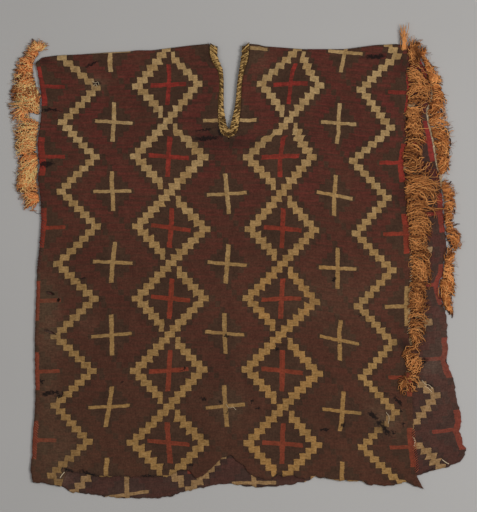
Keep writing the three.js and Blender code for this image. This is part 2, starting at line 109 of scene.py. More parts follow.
# Outlines, in millimetres.
SHOULDER_FOLD = table(("x", "y"), [
    (-352, 331), (-335, 345), (-323, 354.5), (-298, 358), (-252, 360), (-212, 363), (-172, 365),
    (-157, 367), (-131, 367), (-111, 369.5), (-64, 375.5), (-31, 378.5), (-20, 378.5),
    (25, 374.5), (34, 379), (55, 377), (66, 374), (94, 372), (133, 369), (205, 369), (223, 371),
    (245, 374), (259, 376), (296, 378), (324, 375), (336, 366), (352, 350)])
LEFT_EDGE = table(("y", "x"), [
    (345, -335), (322, -330), (290, -325), (278, -324), (243, -326), (219, -330), (200, -332),
    (184, -330), (168, -328), (140, -331), (107, -326), (66, -325), (24, -328), (-14, -332),
    (-70, -334), (-128, -336), (-187, -336), (-226, -335), (-264, -336), (-308, -340), (-341, -341),
    (-367, -344), (-390, -340)])
FRONT_FOOT = table(("x", "y"), [
    (-340, -390), (-322, -390), (-303, -394.5), (-290, -396.5), (-284, -381), (-280, -369),
    (-254, -373), (-233, -377), (-219, -380), (-192, -378), (-166, -380), (-119, -379),
    (-105, -380), (-93, -373), (-84, -367.5), (-66, -367.5), (-56, -381), (-46, -381),
    (-31, -367.5), (-8, -346), (2, -341), (10, -342), (15, -351), (30, -360), (39, -374),
    (52, -380.5), (72, -385), (83, -382), (89, -374.5), (98, -379), (115, -376.5), (137, -384.5),
    (145, -379), (153, -377.5), (163, -381), (196, -386), (238, -387.5), (245, -392.5),
    (258, -394), (291, -395), (314, -388), (327, -395), (344, -400)])
FRONT_RIGHT_EDGE = table(("y", "x"), [
    (-400, 344), (-380, 332), (-340, 329), (-301, 324), (-285, 326), (-210, 323), (-140, 319),
    (-128, 317), (-108, 320), (-80, 319), (-31, 322), (-3, 322), (51, 320), (77, 317), (105, 313),
    (149, 311), (163, 308), (189, 310), (213, 315), (241, 312), (262, 315), (296, 320),
    (315, 318), (332, 317), (353, 322), (372, 329)])
BACK_RIGHT_EDGE = table(("y", "x"), [
    (-353, 408), (-346, 414), (-331, 419), (-322, 413), (-313, 412), (-299, 406), (-283, 411),
    (-266, 408), (-240, 401), (-212, 398), (-199, 392), (-184, 387), (-172, 384), (-157, 387),
    (-124, 384.5), (-114, 386), (-90, 382), (-65, 374), (-51, 370), (-37, 371), (-23, 378),
    (-5, 379), (18, 385), (47, 382), (77, 378), (101, 378), (131, 374), (149, 372), (166, 366),
    (198, 361), (215, 358), (238, 352), (256, 349), (264, 349), (275, 355), (292, 358),
    (306, 356), (336, 346), (352, 338)])
BACK_FOOT = table(("x", "y"), [
    (-339, -380), (-300, -385), (-290, -396), (-284, -400), (-272, -407), (-245, -409.5),
    (-226, -412.5), (-188, -416.5), (-119, -416.5), (-96, -413.5), (-80, -407), (-48, -400),
    (-23, -394.5), (-4, -391.5), (12, -392.5), (35, -396.5), (59, -398), (92, -395.5),
    (121, -391.5), (144, -386), (160, -374), (300, -374), (333, -379), (339, -375), (356, -370),
    (374, -365), (388, -361.5), (408, -353)])
NECK_BINDING = table(("x", "y", "half"), [
    (-22.4, 374, 8.0), (-22.8, 359, 7.0), (-18.6, 346, 6.2), (-11.6, 333, 4.8), (-9.5, 318, 4.0),
    (-9.1, 301, 4.0), (-9.8, 285, 4.6), (-10.2, 271, 5.4), (-9.8, 259, 6.1), (-8.4, 247, 7.0),
    (-6.7, 235, 7.9), (-3.5, 226, 8.2), (3.2, 222, 8.4), (10.0, 226, 8.2), (12.3, 235, 7.7),
    (14.5, 247, 7.0), (16.8, 259, 6.3), (18.6, 271, 5.6), (19.8, 285, 4.9), (20.7, 301, 4.4),
    (22.6, 318, 4.3), (25.4, 333, 4.9), (28.7, 346, 6.2), (31.0, 359, 6.8), (32.2, 374, 7.0)])

# Soft folds: middle, turn of the crest in degrees, reach along and across it, height.
FOLD_NAMES = ("x", "y", "turn", "along", "across", "high")
FRONT_FOLDS = table(FOLD_NAMES, [
    (-60, 214, -8, 70, 22, 3.0), (62, 236, 24, 60, 26, 2.2), (247, 362, -6, 34, 18, 3.6),
    (-236, 336, 28, 60, 24, 2.4), (-282, 262, 8, 55, 24, 2.8), (-130, 300, -30, 80, 30, 1.8),
    (150, 120, 20, 110, 34, 1.6), (-250, 60, -38, 90, 30, 1.8), (-286, -62, -14, 60, 24, 3.2),
    (-270, -132, -24, 70, 26, 2.6), (40, -120, 12, 120, 36, 1.6), (196, -60, -28, 90, 32, 1.8),
    (-120, -210, 16, 100, 34, 1.8), (-20, -318, 34, 70, 24, 3.0), (226, -262, -34, 64, 26, 2.6),
    (258, -330, 40, 60, 24, 2.8), (-240, -330, 10, 80, 26, 2.4), (110, -340, -12, 70, 26, 2.2)])
FRONT_CREASES = table(FOLD_NAMES, [
    (-32, 209, 4, 26, 7, -1.6), (-30, 222, 2, 34, 8, 1.5), (52, 214, -8, 30, 9, 0.9),
    (-236, 343, 25, 16, 6, -1.1), (-300, 262, 0, 20, 7, -1.1), (252, 354, -3, 18, 6, -1.8),
    (-246, -366, 5, 30, 8, -1.2), (-292, -237, 10, 16, 7, -1.0), (268, -270, -48, 34, 8, -1.5),
    (300, -246, -55, 24, 7, -1.0), (-180, 120, 60, 46, 12, 0.7), (96, 40, -20, 60, 14, 0.7),
    (-70, -60, 35, 70, 14, 0.6), (216, 170, 40, 60, 13, 0.7), (-150, -300, -25, 50, 11, 0.9),
    (60, -250, 15, 60, 12, 0.7), (178, -290, -10, 40, 10, 0.9), (-300, -20, 70, 40, 10, 0.8),
    (-30, 60, 8, 80, 15, 0.5), (270, 40, 75, 60, 12, 0.7), (-310, 180, 80, 36, 9, 0.8)])
BACK_FOLDS = table(FOLD_NAMES, [
    (376, 60, 84, 60, 12, 1.2), (362, -30, 70, 44, 11, 1.4), (372, -150, 80, 60, 14, 1.8),
    (384, -250, 64, 50, 14, 2.2), (372, -300, 30, 36, 14, 2.0), (398, -330, -30, 26, 12, 1.6),
    (350, -210, 88, 50, 10, 1.4), (-200, -402, 2, 60, 9, 1.4), (-100, -404, -4, 50, 9, 1.2),
    (20, -384, 6, 50, 10, 1.6), (110, -386, -4, 30, 8, 1.0)])

# Rips that are cut through: middle, length, width, turn in degrees.
RIPS = table(("x", "y", "long", "wide", "turn"), [
    (-309, -58, 15, 4.8, -18), (-295, -70, 6, 4.8, 60), (-310, -126, 21, 4.4, -20),
    (-289, -234, 6, 4.6, 75), (319, -192, 12, 8, 30), (-230, 309, 8, 4.6, 20)])

# Worn places, and places of painted shade: middle and reach in pixels, turn in degrees, and how strong.
PLACE_NAMES = ("x", "y", "along", "across", "turn", "amount")
WORN_PLACES = picture_table(PLACE_NAMES, [
    (48, 320, 14, 46, 0, 0.75), (50, 400, 12, 40, 0, 0.5), (58, 452, 24, 34, 0, 0.6),
    (385, 420, 22, 12, -40, 0.7), (440, 340, 16, 70, 0, 0.35), (96, 83, 10, 7, 0, 0.6),
    (230, 408, 18, 16, 0, 0.35), (86, 322, 12, 16, 30, 0.35), (330, 300, 60, 26, 0, 0.25),
    (260, 60, 14, 20, 0, 0.4), (430, 365, 16, 12, 0, 0.8), (60, 478, 14, 8, 0, 0.8)])
# Painted shade under the neck cord, in creases and beside the fringes.
PAINTED_SHADE_PLACES = picture_table(PLACE_NAMES, [
    (228, 143, 34, 7, 0, 0.75), (220, 130, 3.2, 9, 0, 1.3), (207, 136, 16, 3, 5, 0.9),
    (376, 56.5, 10, 2.4, 5, 1.2), (44, 61, 5, 4, 0, 0.9), (108, 478, 40, 4, -10, 0.35),
    (378, 427, 26, 7, -45, 0.5), (406, 344, 9, 5, 0, 1.2), (408, 368, 6, 5, 0, 1.0),
    (404, 196, 10, 9, 0, 0.7), (424, 360, 5, 4, 0, 0.8), (402, 68, 8, 12, 0, 0.6), (150, 478, 14, 4, 0, 0.4),
    (284, 478, 14, 3, 0, 0.6), (190, 120, 14, 4, -8, 0.4), (150, 108, 26, 3, -12, 0.35)])

# Small rips, creases and spots drawn in the cloth, in the same way: dark spots, and painted shade in the rips
# and creases.
MARKS = picture_table(PLACE_NAMES, [
    (226, 336, 2.6, 1.9, 0, 1.0), (46, 164, 8, 2.8, 8, 1.0), (51, 110, 11, 1.4, -2, 0.9),
    (92, 64, 9, 2.0, 25, 0.8), (207, 138.5, 14, 2.0, 4, 0.9), (205, 129.5, 11, 1.5, 8, 0.7),
    (220.5, 129, 2.4, 8, 5, 1.0), (60, 396, 6, 1.6, 10, 0.8), (42, 381, 2, 2, 0, 0.9),
    (47, 393, 5.4, 2.2, 20, 1.0), (55, 392.5, 4.4, 2.0, 0, 0.9), (385, 429, 9, 2.4, -52, 1.0),
    (393, 432, 3, 1.6, -45, 0.8), (400.5, 411, 1.8, 1.8, 0, 1.0), (380, 423, 4.2, 2.8, 0, 1.0),
    (373, 415.5, 5.5, 2.4, -35, 1.0), (398, 401, 8.5, 1.6, -56, 0.8), (276, 476, 4, 2, 60, 0.7),
    (97, 83.5, 3.4, 2.6, 20, 0.9), (324, 430, 6, 1.6, 0, 0.8), (343, 425, 3.6, 1.5, 45, 0.8),
    (334, 279, 2.6, 1.5, 0, 0.9), (360, 315, 2.2, 1.6, 0, 0.9), (184.5, 369, 1.9, 1.6, 0, 0.9),
    (276.7, 349, 1.7, 1.6, 0, 0.9), (251.5, 401, 2, 1.7, 0, 0.9), (257, 408, 3.2, 1.4, 0, 0.7),
    (203, 399, 4, 1.4, -15, 0.7), (82, 279, 5, 1.5, 12, 0.7), (92, 475.5, 15, 2.0, -22, 0.9),
    (69, 470.5, 6, 1.8, -10, 0.8), (375.5, 56.5, 10, 2.2, 4, 1.0), (385, 393, 1.6, 1.4, 0, 0.6),
    (191, 465, 2, 1.8, 0, 0.8), (220, 402, 2.2, 1.4, -40, 0.8), (227, 412, 3, 1.2, 35, 0.6),
    (404, 424, 2.4, 1.8, 30, 0.8), (122, 382, 1.6, 1.4, 0, 0.5), (302, 299, 1.6, 1.3, 0, 0.6),
    (148, 476, 9, 1.4, 5, 0.7), (241, 338, 2, 1.2, 30, 0.4), (339, 344, 3.2, 1.1, 10, 0.6),
    (160, 124, 10, 1.3, -10, 0.4), (182, 371, 2, 1.2, 0, 0.5)])
BACK_MARKS = picture_table(PLACE_NAMES, [
    (447.5, 361, 3, 2.2, -40, 0.9), (424, 361, 5, 3, 20, 0.7), (431, 386, 6, 1.6, -30, 0.6),
    (430, 470, 10, 1.6, 18, 0.5)])


def mounds(rows, x, y):
    """For each row, how near every point is to the middle of its ellipse, from 0 to 1."""
    for i, turn in enumerate(np.radians(rows["turn"])):
        dx, dy = x - rows["x"][i], y - rows["y"][i]
        along = (dx * np.cos(turn) + dy * np.sin(turn)) / rows["along"][i]
        across = (dy * np.cos(turn) - dx * np.sin(turn)) / rows["across"][i]
        yield np.exp(-(along**2) - across**2)


def folds(rows, x, y):
    return sum(high * near for high, near in zip(rows["high"], mounds(rows, x, y)))


def blobs(rows, x, y):
    strengths = [amount * near for amount, near in zip(rows["amount"], mounds(rows, x, y))]
    return np.clip(np.max(strengths, axis=0), 0, 1)


def smoothstep(value, low=0.0, high=1.0):
    t = np.clip((value - low) / (high - low), 0, 1)
    return t * t * (3 - 2 * t)


def front_relief(x, y, with_creases=True):
    """How far the front stands above its lowest place: the solid's folds, and smaller creases."""
    line = NECK_RISE_TOP - NECK_RISE_FOOT
    dx, dy = x - NECK_RISE_FOOT[0], y - NECK_RISE_FOOT[1]
    share = np.clip((dx * line[0] + dy * line[1]) / (line @ line), 0, 1)
    away = np.hypot(dx - share * line[0], dy - share * line[1])
    high = NECK_RISE * np.exp(-((away / NECK_RISE_SPREAD) ** 2)) + folds(FRONT_FOLDS, x, y)
    left, right = x - x_at(LEFT_EDGE, y), x_at(FRONT_RIGHT_EDGE, y) - x
    inward = np.minimum(left, right) / EDGE_CALM
    high = high * smoothstep(inward)
    if with_creases:
        high = high + folds(FRONT_CREASES, x, y) * smoothstep(2 * inward)
    return np.maximum(high, 0)


def back_relief(x, y):
    """Ridges of the back where it shows, at the right and below the front."""
    shows = np.maximum(smoothstep(x, 335, 350) * smoothstep(90 - y, 0, 40), smoothstep(-388 - y, 0, 8))
    right = (x_at(BACK_RIGHT_EDGE, y) - x) / 10
    foot = (y - y_at(BACK_FOOT, x)) / 8
    return np.maximum(folds(BACK_FOLDS, x, y), 0) * shows * smoothstep(np.minimum(right, foot))


def slit_outline():
    """The cut edge round the neck slit, a binding's half width and a seam gap out from its middle."""
    x, y = NECK_BINDING["x"], NECK_BINDING["y"]
    travel = np.stack([np.gradient(x), np.gradient(y)], -1)
    travel /= np.linalg.norm(travel, axis=-1, keepdims=True)
    reach = NECK_BINDING["half"] + SEAM_GAP
    return x + travel[:, 1] * reach, y - travel[:, 0] * reach


SLIT_X, SLIT_Y = slit_outline()
SLIT_LOW = int(np.argmin(SLIT_Y))
SLIT_FOOT = SLIT_Y[SLIT_LOW]


def slit_edges(y):
    """Where the cloth ends beside the neck binding, on its left and on its right."""
    left = np.interp(y, SLIT_Y[SLIT_LOW::-1], SLIT_X[SLIT_LOW::-1])
    return left, np.interp(y, SLIT_Y[SLIT_LOW:], SLIT_X[SLIT_LOW:])


FRAY_WAVES = (4.6, 7.3, 11.9, 19.0, 31.0)


def fray(at, seed, size):
    """A small unevenness of a worn edge, in millimetres."""
    rng = np.random.default_rng(seed)
    total = np.zeros(np.shape(at))
    for wave in FRAY_WAVES:
        total = total + np.sin(math.tau * at / (wave * rng.uniform(0.9, 1.1)) + rng.uniform(0, math.tau))
    return total * size / math.sqrt(len(FRAY_WAVES))


PANEL_HEIGHT = 780
PANEL_HALF_WIDTH = 360
FIRST_HALF_WIDTH = 340.0
SETTLING_ROUNDS = 9


def panel_grid(left_edge, right_edge, foot, drop, spacing, seed, nose=()):
    """Places of a panel's left and right halves, in rows from its foot up to the fold. Each value of nose
    adds a row that far below the fold."""
    rows, columns = int(PANEL_HEIGHT / spacing), int(PANEL_HALF_WIDTH / spacing)
    v, u = np.meshgrid(np.linspace(0, 1, rows), np.linspace(0, 1, columns), indexing="ij")
    places = []
    for half in (0, 1):
        x = (u - 1 + half) * FIRST_HALF_WIDTH
        for _ in range(SETTLING_ROUNDS):
            low = y_at(foot, x) + fray(x, seed, 1.1)
            y = low + v * (y_at(SHOULDER_FOLD, x) - drop - low)
            slit_left, slit_right = slit_edges(y)
            if half == 0:
                start, end = x_at(left_edge, y) + fray(y, seed + 1, 0.6), slit_left
            else:
                start, end = slit_right, x_at(right_edge, y) + fray(y, seed + 2, 0.9)
            x = start + u * (end - start)
        for down in nose:
            x = np.vstack([x, x[-1:]])
            y = np.vstack([y, y_at(SHOULDER_FOLD, x[-1:]) - down])
        places.append((x, y))
    return places


def grid_quads(places):
    """Numbers the vertices of both halves and joins them below the slit."""
    (left_x, left_y), (right_x, right_y) = places
    left_ids = np.arange(left_x.size).reshape(left_x.shape)
    right_ids = left_ids + left_x.size
    shared = left_y[:, -1] <= SLIT_FOOT
    right_ids[shared, 0] = left_ids[shared, -1]
    quads = [np.stack([ids[:-1, :-1], ids[:-1, 1:], ids[1:, 1:], ids[1:, :-1]], -1).reshape(-1, 4)
             for ids in (left_ids, right_ids)]
    x = np.concatenate([left_x.ravel(), right_x.ravel()])
    y = np.concatenate([left_y.ravel(), right_y.ravel()])
    return x, y, np.concatenate(quads)


def placed(name, data):
    """A new object in the scene."""
    obj = bpy.data.objects.new(name, data)
    bpy.context.scene.collection.objects.link(obj)
    return obj


def mesh_object(name, points, faces, smooth):
    """A mesh in garment millimetres, as an object in the scene."""
    mesh = bpy.data.meshes.new(name)
    mesh.from_pydata(to_row(points).tolist(), [], faces)
    mesh.polygons.foreach_set("use_smooth", smooth)
    return placed(name, mesh)


def shell(name, x, y, top, bottom, quads):
    """A closed thin shell: the upper face, the lower face and the walls round every edge."""
    used, quads = np.unique(quads, return_inverse=True)
    quads, count = quads.reshape(-1, 4), len(used)
    x, y, top, bottom = x[used], y[used], top[used], bottom[used]
    edges = np.concatenate([quads[:, [i, (i + 1) % 4]] for i in range(4)])
    keys = np.sort(edges, axis=1)
    _, first, uses = np.unique(keys[:, 0] * count + keys[:, 1], return_index=True, return_counts=True)
    rim = edges[first[uses == 1]]
    walls = np.stack([rim[:, 1], rim[:, 0], rim[:, 0] + count, rim[:, 1] + count], -1)
    points = np.concatenate([np.stack([x, y, top], -1), np.stack([x, y, bottom], -1)])
    faces = np.concatenate([quads, quads[:, ::-1] + count, walls])
    smooth = np.arange(len(faces)) < 2 * len(quads)
    return mesh_object(name, points, faces.tolist(), smooth), points[:, 0], points[:, 1]


def set_chart(obj, step, row):
    """Each vertex's place in the repeat, kept on the face corners."""
    corners = np.zeros(len(obj.data.loops), np.int32)
    obj.data.loops.foreach_get("vertex_index", corners)
    layer = obj.data.uv_layers.new(name="chart")
    layer.data.foreach_set("uv", np.stack([step[corners], row[corners]], -1).astype(np.float32).ravel())


def set_tone(obj, *values):
    """Three values of each vertex, kept as the colour that the paints call tone."""
    layer = obj.data.color_attributes.new(name="tone", type="FLOAT_COLOR", domain="POINT")
    tone = np.stack([*values, np.ones_like(values[0])], -1)
    layer.data.foreach_set("color", tone.astype(np.float32).ravel())


# The tapestry's repeat. A place in it is (step, row): steps run across from the middle, rows run down
# from the shoulder fold, and the whole repeat is twelve rows. The front's repeat fills the cloth evenly
# from its middle to its sides, and the open neck pushes it aside. The back's is an even one, turned.
PATTERN_MIDDLE = -0.875
PATTERN_TOP = 368.375
STEP = 9.7475
ROW = 10.4125
HALF_STEPS = 33.4
NECK_REACH_LEFT = 8.0
NECK_REACH_RIGHT = 17.0
NECK_FADE = 40.0
RIGHT_DROP = 10.5
RIGHT_DROP_STEPS = (10.0, 28.0)
BACK_MIDDLE = (35.0, -264.25)
BACK_MIDDLE_ROW = 60
BACK_STEP = 10.85
BACK_ROW = 10.5875
BACK_TURN = math.radians(5.0)
REPEAT = 12
LAST_ROW = 72
CHAIN_STEP = 10.0
CROSS_STEP = 20.33
WANDER = 2.275
WANDER_WAVES = 5
CROSS_LEAN = 0.1
CROSS_REACH = (4.0, 5.2)
SEARCH_ROUNDS = 40
SEARCH_SHARE = 0.7


def wander(step, row, seed):
    """The slow unevenness of weaving by hand, in millimetres."""
    rng = np.random.default_rng(seed)
    total = np.zeros(len(step))
    for _ in range(WANDER_WAVES):
        across, down = rng.uniform(0.05, 0.22, 2)
        total = total + np.sin(step * across + row * down * rng.choice([-1, 1]) + rng.uniform(0, math.tau))
    return total * WANDER / math.sqrt(WANDER_WAVES)


def front_place(step, row):
    """The garment place of a place in the front's repeat."""
    drop = RIGHT_DROP * smoothstep(step, *RIGHT_DROP_STEPS)
    y = PATTERN_TOP - row * ROW - drop - wander(step, row, 71)
    is_left = step < 0
    side = np.where(is_left, x_at(LEFT_EDGE, y), x_at(FRONT_RIGHT_EDGE, y))
    x = PATTERN_MIDDLE + np.abs(step) / HALF_STEPS * (side - PATTERN_MIDDLE)
    fade = np.exp(-((step / np.where(is_left, NECK_REACH_LEFT, NECK_REACH_RIGHT)) ** 2))
    push = (np.where(is_left, *slit_edges(y)) - PATTERN_MIDDLE) * fade
    return x + push * smoothstep(y, SLIT_FOOT - NECK_FADE, SLIT_FOOT) + wander(step, row, 72), y


def back_place(step, row):
    """The garment place of a place in the back's repeat, which fills the back up to its right edge."""
    down = (row - BACK_MIDDLE_ROW) * BACK_ROW
    middle = BACK_MIDDLE[0] + down * math.sin(BACK_TURN)
    y = BACK_MIDDLE[1] + step * BACK_STEP * math.sin(BACK_TURN) - down * math.cos(BACK_TURN)
    to_edge = x_at(BACK_RIGHT_EDGE, y) - middle
    pitch = np.where(step > 0, to_edge / HALF_STEPS, BACK_STEP)
    return middle + step * pitch + wander(step, row, 73), y - wander(step, row, 74)


def crosses():
    """The middle of every cross of the repeat."""
    for row in range(0, LAST_ROW + 1, REPEAT):
        yield from ((-CROSS_STEP, row), (0.0, row), (CROSS_STEP, row))
        yield from ((-CHAIN_STEP, row + REPEAT // 2), (CHAIN_STEP, row + REPEAT // 2))


def repeat_place(place, x, y, seed):
    """The place in the repeat of each garment point, with each cross leaning a little of its own."""
    step, row = (x - PATTERN_MIDDLE) / STEP, (PATTERN_TOP - y) / ROW
    for _ in range(SEARCH_ROUNDS):
        at_x, at_y = place(step, row)
        step = step + SEARCH_SHARE * (x - at_x) / STEP
        row = row + SEARCH_SHARE * (at_y - y) / ROW
    rng = np.random.default_rng(seed)
    moved_step, moved_row = step.copy(), row.copy()
    for middle_step, middle_row in crosses():
        arms, post = rng.uniform(-CROSS_LEAN, CROSS_LEAN, 2)
        across, down = step - middle_step, row - middle_row
        weight = 1 - smoothstep(np.abs(across) + np.abs(down), *CROSS_REACH)
        moved_step -= weight * post * down
        moved_row -= weight * arms * across
    return moved_step, moved_row


LIGHT_LEVEL = 0.68


def linear(*colour):
    """A colour as the picture shows it, as the share of light that the surface gives back."""
    def one(value):
        value /= 255
        return value / 12.92 if value <= 0.04045 else ((value + 0.055) / 1.055) ** 2.4
    return tuple(min(1.0, one(value) / LIGHT_LEVEL) for value in colour) + (1.0,)


class Term:
    """A number in a shader's tree, so that a rule reads as arithmetic."""

    def __init__(self, socket):
        self.socket = socket

    def node(self, operation, *others):
        made = self.socket.id_data.nodes.new("ShaderNodeMath")
        made.operation = operation
        for entry, value in zip(made.inputs, (self, *others)):
            feed(entry, value)
        return Term(made.outputs[0])

    def flip(self):
        return (self * -1.0) + 1.0

    def clip(self):
        return self.high(0.0).low(1.0)

    def spread(self, gain):
        """The value with its distance from the middle enlarged."""
        return ((self - 0.5) * gain + 0.5).clip()

    def wrap(self, span):
        """The distance past the nearest whole span, from minus half of it to half of it."""
        return self - ((self / span + 0.5).floor() * span)


def rule(operation):
    return lambda self, *others: self.node(operation, *others)


for method, operation in {
    "__add__": "ADD", "__sub__": "SUBTRACT", "__mul__": "MULTIPLY", "__truediv__": "DIVIDE",
    "__lt__": "LESS_THAN", "__gt__": "GREATER_THAN", "__abs__": "ABSOLUTE", "floor": "FLOOR",
    "sign": "SIGN", "high": "MAXIMUM", "low": "MINIMUM",
}.items():
    setattr(Term, method, rule(operation))


def feed(entry, value):
    """Gives a node's input a value, or a link from a term or another node's output."""
    if isinstance(value, Term):
        value = value.socket
    if isinstance(value, bpy.types.NodeSocket):
        entry.id_data.links.new(value, entry)
    else:
        entry.default_value = value


class Paint:
    """Adds the nodes of one material."""

    def __init__(self, name):
        self.material = bpy.data.materials.new(name)
        self.material.use_nodes = True
        self.tree = self.material.node_tree
        self.shader = self.tree.nodes["Principled BSDF"]

    def add(self, kind, inputs, **settings):
        """A node with its settings and what goes into it."""
        made = self.tree.nodes.new("ShaderNode" + kind)
        for name, value in settings.items():
            setattr(made, name, value)
        for name, value in inputs.items():
            feed(made.inputs[name], value)
        return made

    def where(self):
        """The place on the object."""
        return self.add("TexCoord", {}).outputs["Object"]

    def parts(self, kind, socket):
        """The three numbers of a vector or a colour."""
        return [Term(output) for output in self.add(kind, {0: socket}).outputs]

    def tone(self):
        return self.parts("SeparateColor", self.add("VertexColor", {}, layer_name="tone").outputs["Color"])

    def noise(self, scale, detail=2.0, stretch=None, vector=None):
        """Soft noise from 0 to 1, over the object or over another vector."""
        vector = vector or self.where()
        if stretch:
            vector = self.add("Mapping", {"Vector": vector, "Scale": stretch}).outputs[0]
        made = self.add("TexNoise", {"Vector": vector, "Scale": scale, "Detail": detail})
        return Term(made.outputs["Fac"])

    def mix(self, factor, a, b, blend="MIX"):
        return self.add("Mix", {0: factor, 6: a, 7: b}, data_type="RGBA", blend_type=blend).outputs[2]

    def coats(self, first, *layers):
        """A colour with others over it, each by its share. Three numbers are a colour of the picture."""
        colour = linear(*first) if isinstance(first, tuple) else first
        for share, over in layers:
            colour = self.mix(share, colour, linear(*over) if isinstance(over, tuple) else over)
        return colour

    def bump(self, height, distance, strength=1.0, before=None):
        inputs = {"Distance": distance, "Strength": strength, "Height": height}
        if before:
            inputs["Normal"] = before
        return self.add("Bump", inputs).outputs["Normal"]

    def finish(self, colour, normal, roughness, sheen):
        for name, value in {
            "Base Color": colour, "Normal": normal, "Roughness": roughness, "Specular IOR Level": 0.18,
            "Sheen Weight": sheen, "Sheen Roughness": 0.6, "Sheen Tint": (1.0, 1.0, 1.0, 1.0),
        }.items():
            feed(self.shader.inputs[name], value)
        return self.material


# Half widths and reaches of the repeat's parts, in steps across and rows down.
CHAIN_HALF, CHAIN_BROWN, CHAIN_SLIT_SHADOW = 0.97, 2.05, 1.04
CHAIN_GAP_ROWS, CHAIN_GAP_STEPS = 1.5, 1.1
RUN_STEP, RUN_SHIFT, RUN_SLOPE = 29.98, 0.28, 1.03
RUN_HALF, RUN_BROWN, RUN_SLIT_SHADOW = 0.83, 1.95, 0.91
BAND_HALF, BAND_CLEAR = 2.0, 2.9
EDGE_STEP, EDGE_BAND, EDGE_CLEAR = 33.0, 1.5, 2.4
SLIT_SHADOW_HALF = 0.08
POST_HALF, POST_REACH, ARM_HALF, ARM_REACH = 0.38, 3.4, 0.28, 3.5
RED_CROSS = (0.44, 3.4, 0.36, 3.55)
HALF_POST, HALF_POST_REACH, HALF_ARM, HALF_ARM_REACH = 0.5, 3.3, 0.32, 4.0


def cross_mask(across, down, post_half, post_reach, arm_half, arm_reach):
    """Where a post or its arms are, by the distances from their middle."""
    post = (across < post_half) * (down < post_reach)
    return post.high((down < arm_half) * (across < arm_reach))


def repeat_masks(paint, yellow_edge):
    """Where the repeat is yellow, red or bright red, each from 0 to 1, and the thin line of painted shadow in
    the slits beside the yellow, after the repeat's own vector, step and row."""
    vector = paint.add("UVMap", {}, uv_map="chart").outputs["UV"]
    step, row, _ = paint.parts("SeparateXYZ", vector)
    waver = paint.noise(0.9, 2.0, vector=vector)
    fine = paint.noise(1.0, 1.0, (0.35, 9.0, 1.0), vector)
    step = step + (waver - 0.5) * 0.34 + (fine - 0.5) * 0.26
    row = row + (paint.noise(0.8, 1.0, (1.0, 0.8, 1.0), vector) - 0.5) * 0.3

    # Rows past the nearest crossing of the diamonds' lines, and past the nearest widest place.
    whole = (row + 0.5).floor()
    from_crossing = whole - ((whole + 6.0) / 12.0).floor() * 12.0
    from_middle = (whole - 6.0) - (whole / 12.0).floor() * 12.0
    side = step.sign()

    chain = step - side * CHAIN_STEP
    rising, falling = abs(chain + from_crossing), abs(chain - from_crossing)
    gap = (abs(from_crossing) < CHAIN_GAP_ROWS) * (abs(chain) < CHAIN_GAP_STEPS)
    chain_yellow = (rising < CHAIN_HALF).high((falling < CHAIN_HALF) * gap.flip())
    chain_brown = (rising.low(falling) < CHAIN_BROWN).high(abs(chain) < abs(from_crossing))

    run = abs(step) - (side * RUN_SHIFT + RUN_STEP) + abs(from_crossing) * RUN_SLOPE
    beyond = run > 0.0

    cross = step - side * CROSS_STEP * (abs(step) > 10.0)
    inner_red = (abs(cross - from_middle) < BAND_HALF).high(
        (abs(cross + from_middle) < BAND_HALF) * (abs(cross - from_middle) > BAND_CLEAR))
    edge = step - side * EDGE_STEP
    outer_red = (abs(edge - from_crossing) < EDGE_BAND).high(
        (abs(edge + from_crossing) < EDGE_BAND) * (abs(edge - from_crossing) > EDGE_CLEAR))
    red = beyond * outer_red + beyond.flip() * inner_red
    red = red * chain_brown.high(abs(run) < RUN_BROWN).flip()

    # The open neck leaves only a part of the two upper crosses in the middle.
    from_cross, from_red = abs(row.wrap(12.0)), abs((row - 6.0).wrap(12.0))
    is_side = abs(step) > 5.0
    post = (abs(cross) < POST_HALF) * (from_cross < POST_REACH) * (row > 16.0).high(is_side)
    arms = (from_cross < ARM_HALF) * (abs(cross) < ARM_REACH)
    arms = arms * (row > 6.0).high(step > 0.0).high(is_side) * (row > 16.0).high(step > -2.6).high(is_side)
    yellow_cross = post.high(arms) * beyond.flip()
    red_cross = cross_mask(abs(chain), from_red, *RED_CROSS)
    half_cross = ((edge * side > -HALF_POST) * (from_red < HALF_POST_REACH)).high(
        (from_red < HALF_ARM) * (abs(edge) < HALF_ARM_REACH)) * beyond
    turned_yellow = half_cross * (step > 0.0) * (row > 36.0) * (row < 48.0) * yellow_edge

    yellow = chain_yellow.high(abs(run) < RUN_HALF).high(yellow_cross).high(turned_yellow)
    bright_red = red_cross.high(half_cross * turned_yellow.flip()) * yellow.flip()
    # A thin line of painted shadow in the slits beside the yellow.
    chain_slit_shadow = abs(rising.low(falling) - CHAIN_SLIT_SHADOW) < SLIT_SHADOW_HALF
    line = chain_slit_shadow.high(abs(abs(run) - RUN_SLIT_SHADOW) < SLIT_SHADOW_HALF) * yellow.flip()
    return vector, step, row, yellow, red, bright_red, line


SPOT_GROWTH = 1.4
SPOT_RAGGED = 0.015


def marks_with_painted_shade(paint, marks):
    """Dark spots, and painted shade in small rips and creases: one soft ellipse with a ragged rim for each
    row of the table.
    """
    where = paint.where()
    ragged = paint.add("TexNoise", {"Vector": where, "Scale": 210.0, "Detail": 4.0}).outputs["Color"]
    half, full = [(size, size, 0.0) for size in (SPOT_RAGGED / 2, SPOT_RAGGED)]
    centred = paint.add("VectorMath", {0: where, 1: half}, operation="SUBTRACT").outputs[0]
    place = paint.add("VectorMath", {0: ragged, 1: full, 2: centred}, operation="MULTIPLY_ADD").outputs[0]
    spots = []
    for x, y, along, across, turn, dark in zip(*marks.values()):
        mapping = paint.add("Mapping", {
            "Vector": place, "Location": to_row([x, y, 0.0]), "Rotation": (0.0, 0.0, math.radians(turn)),
            "Scale": (along * SPOT_GROWTH * MM, across * SPOT_GROWTH * MM, 0.5)}, vector_type="TEXTURE")
        ball = paint.add("TexGradient", {"Vector": mapping.outputs[0]}, gradient_type="SPHERICAL")
        spots.append(Term(ball.outputs["Fac"]) * float(dark))
    return functools.reduce(Term.high, spots)


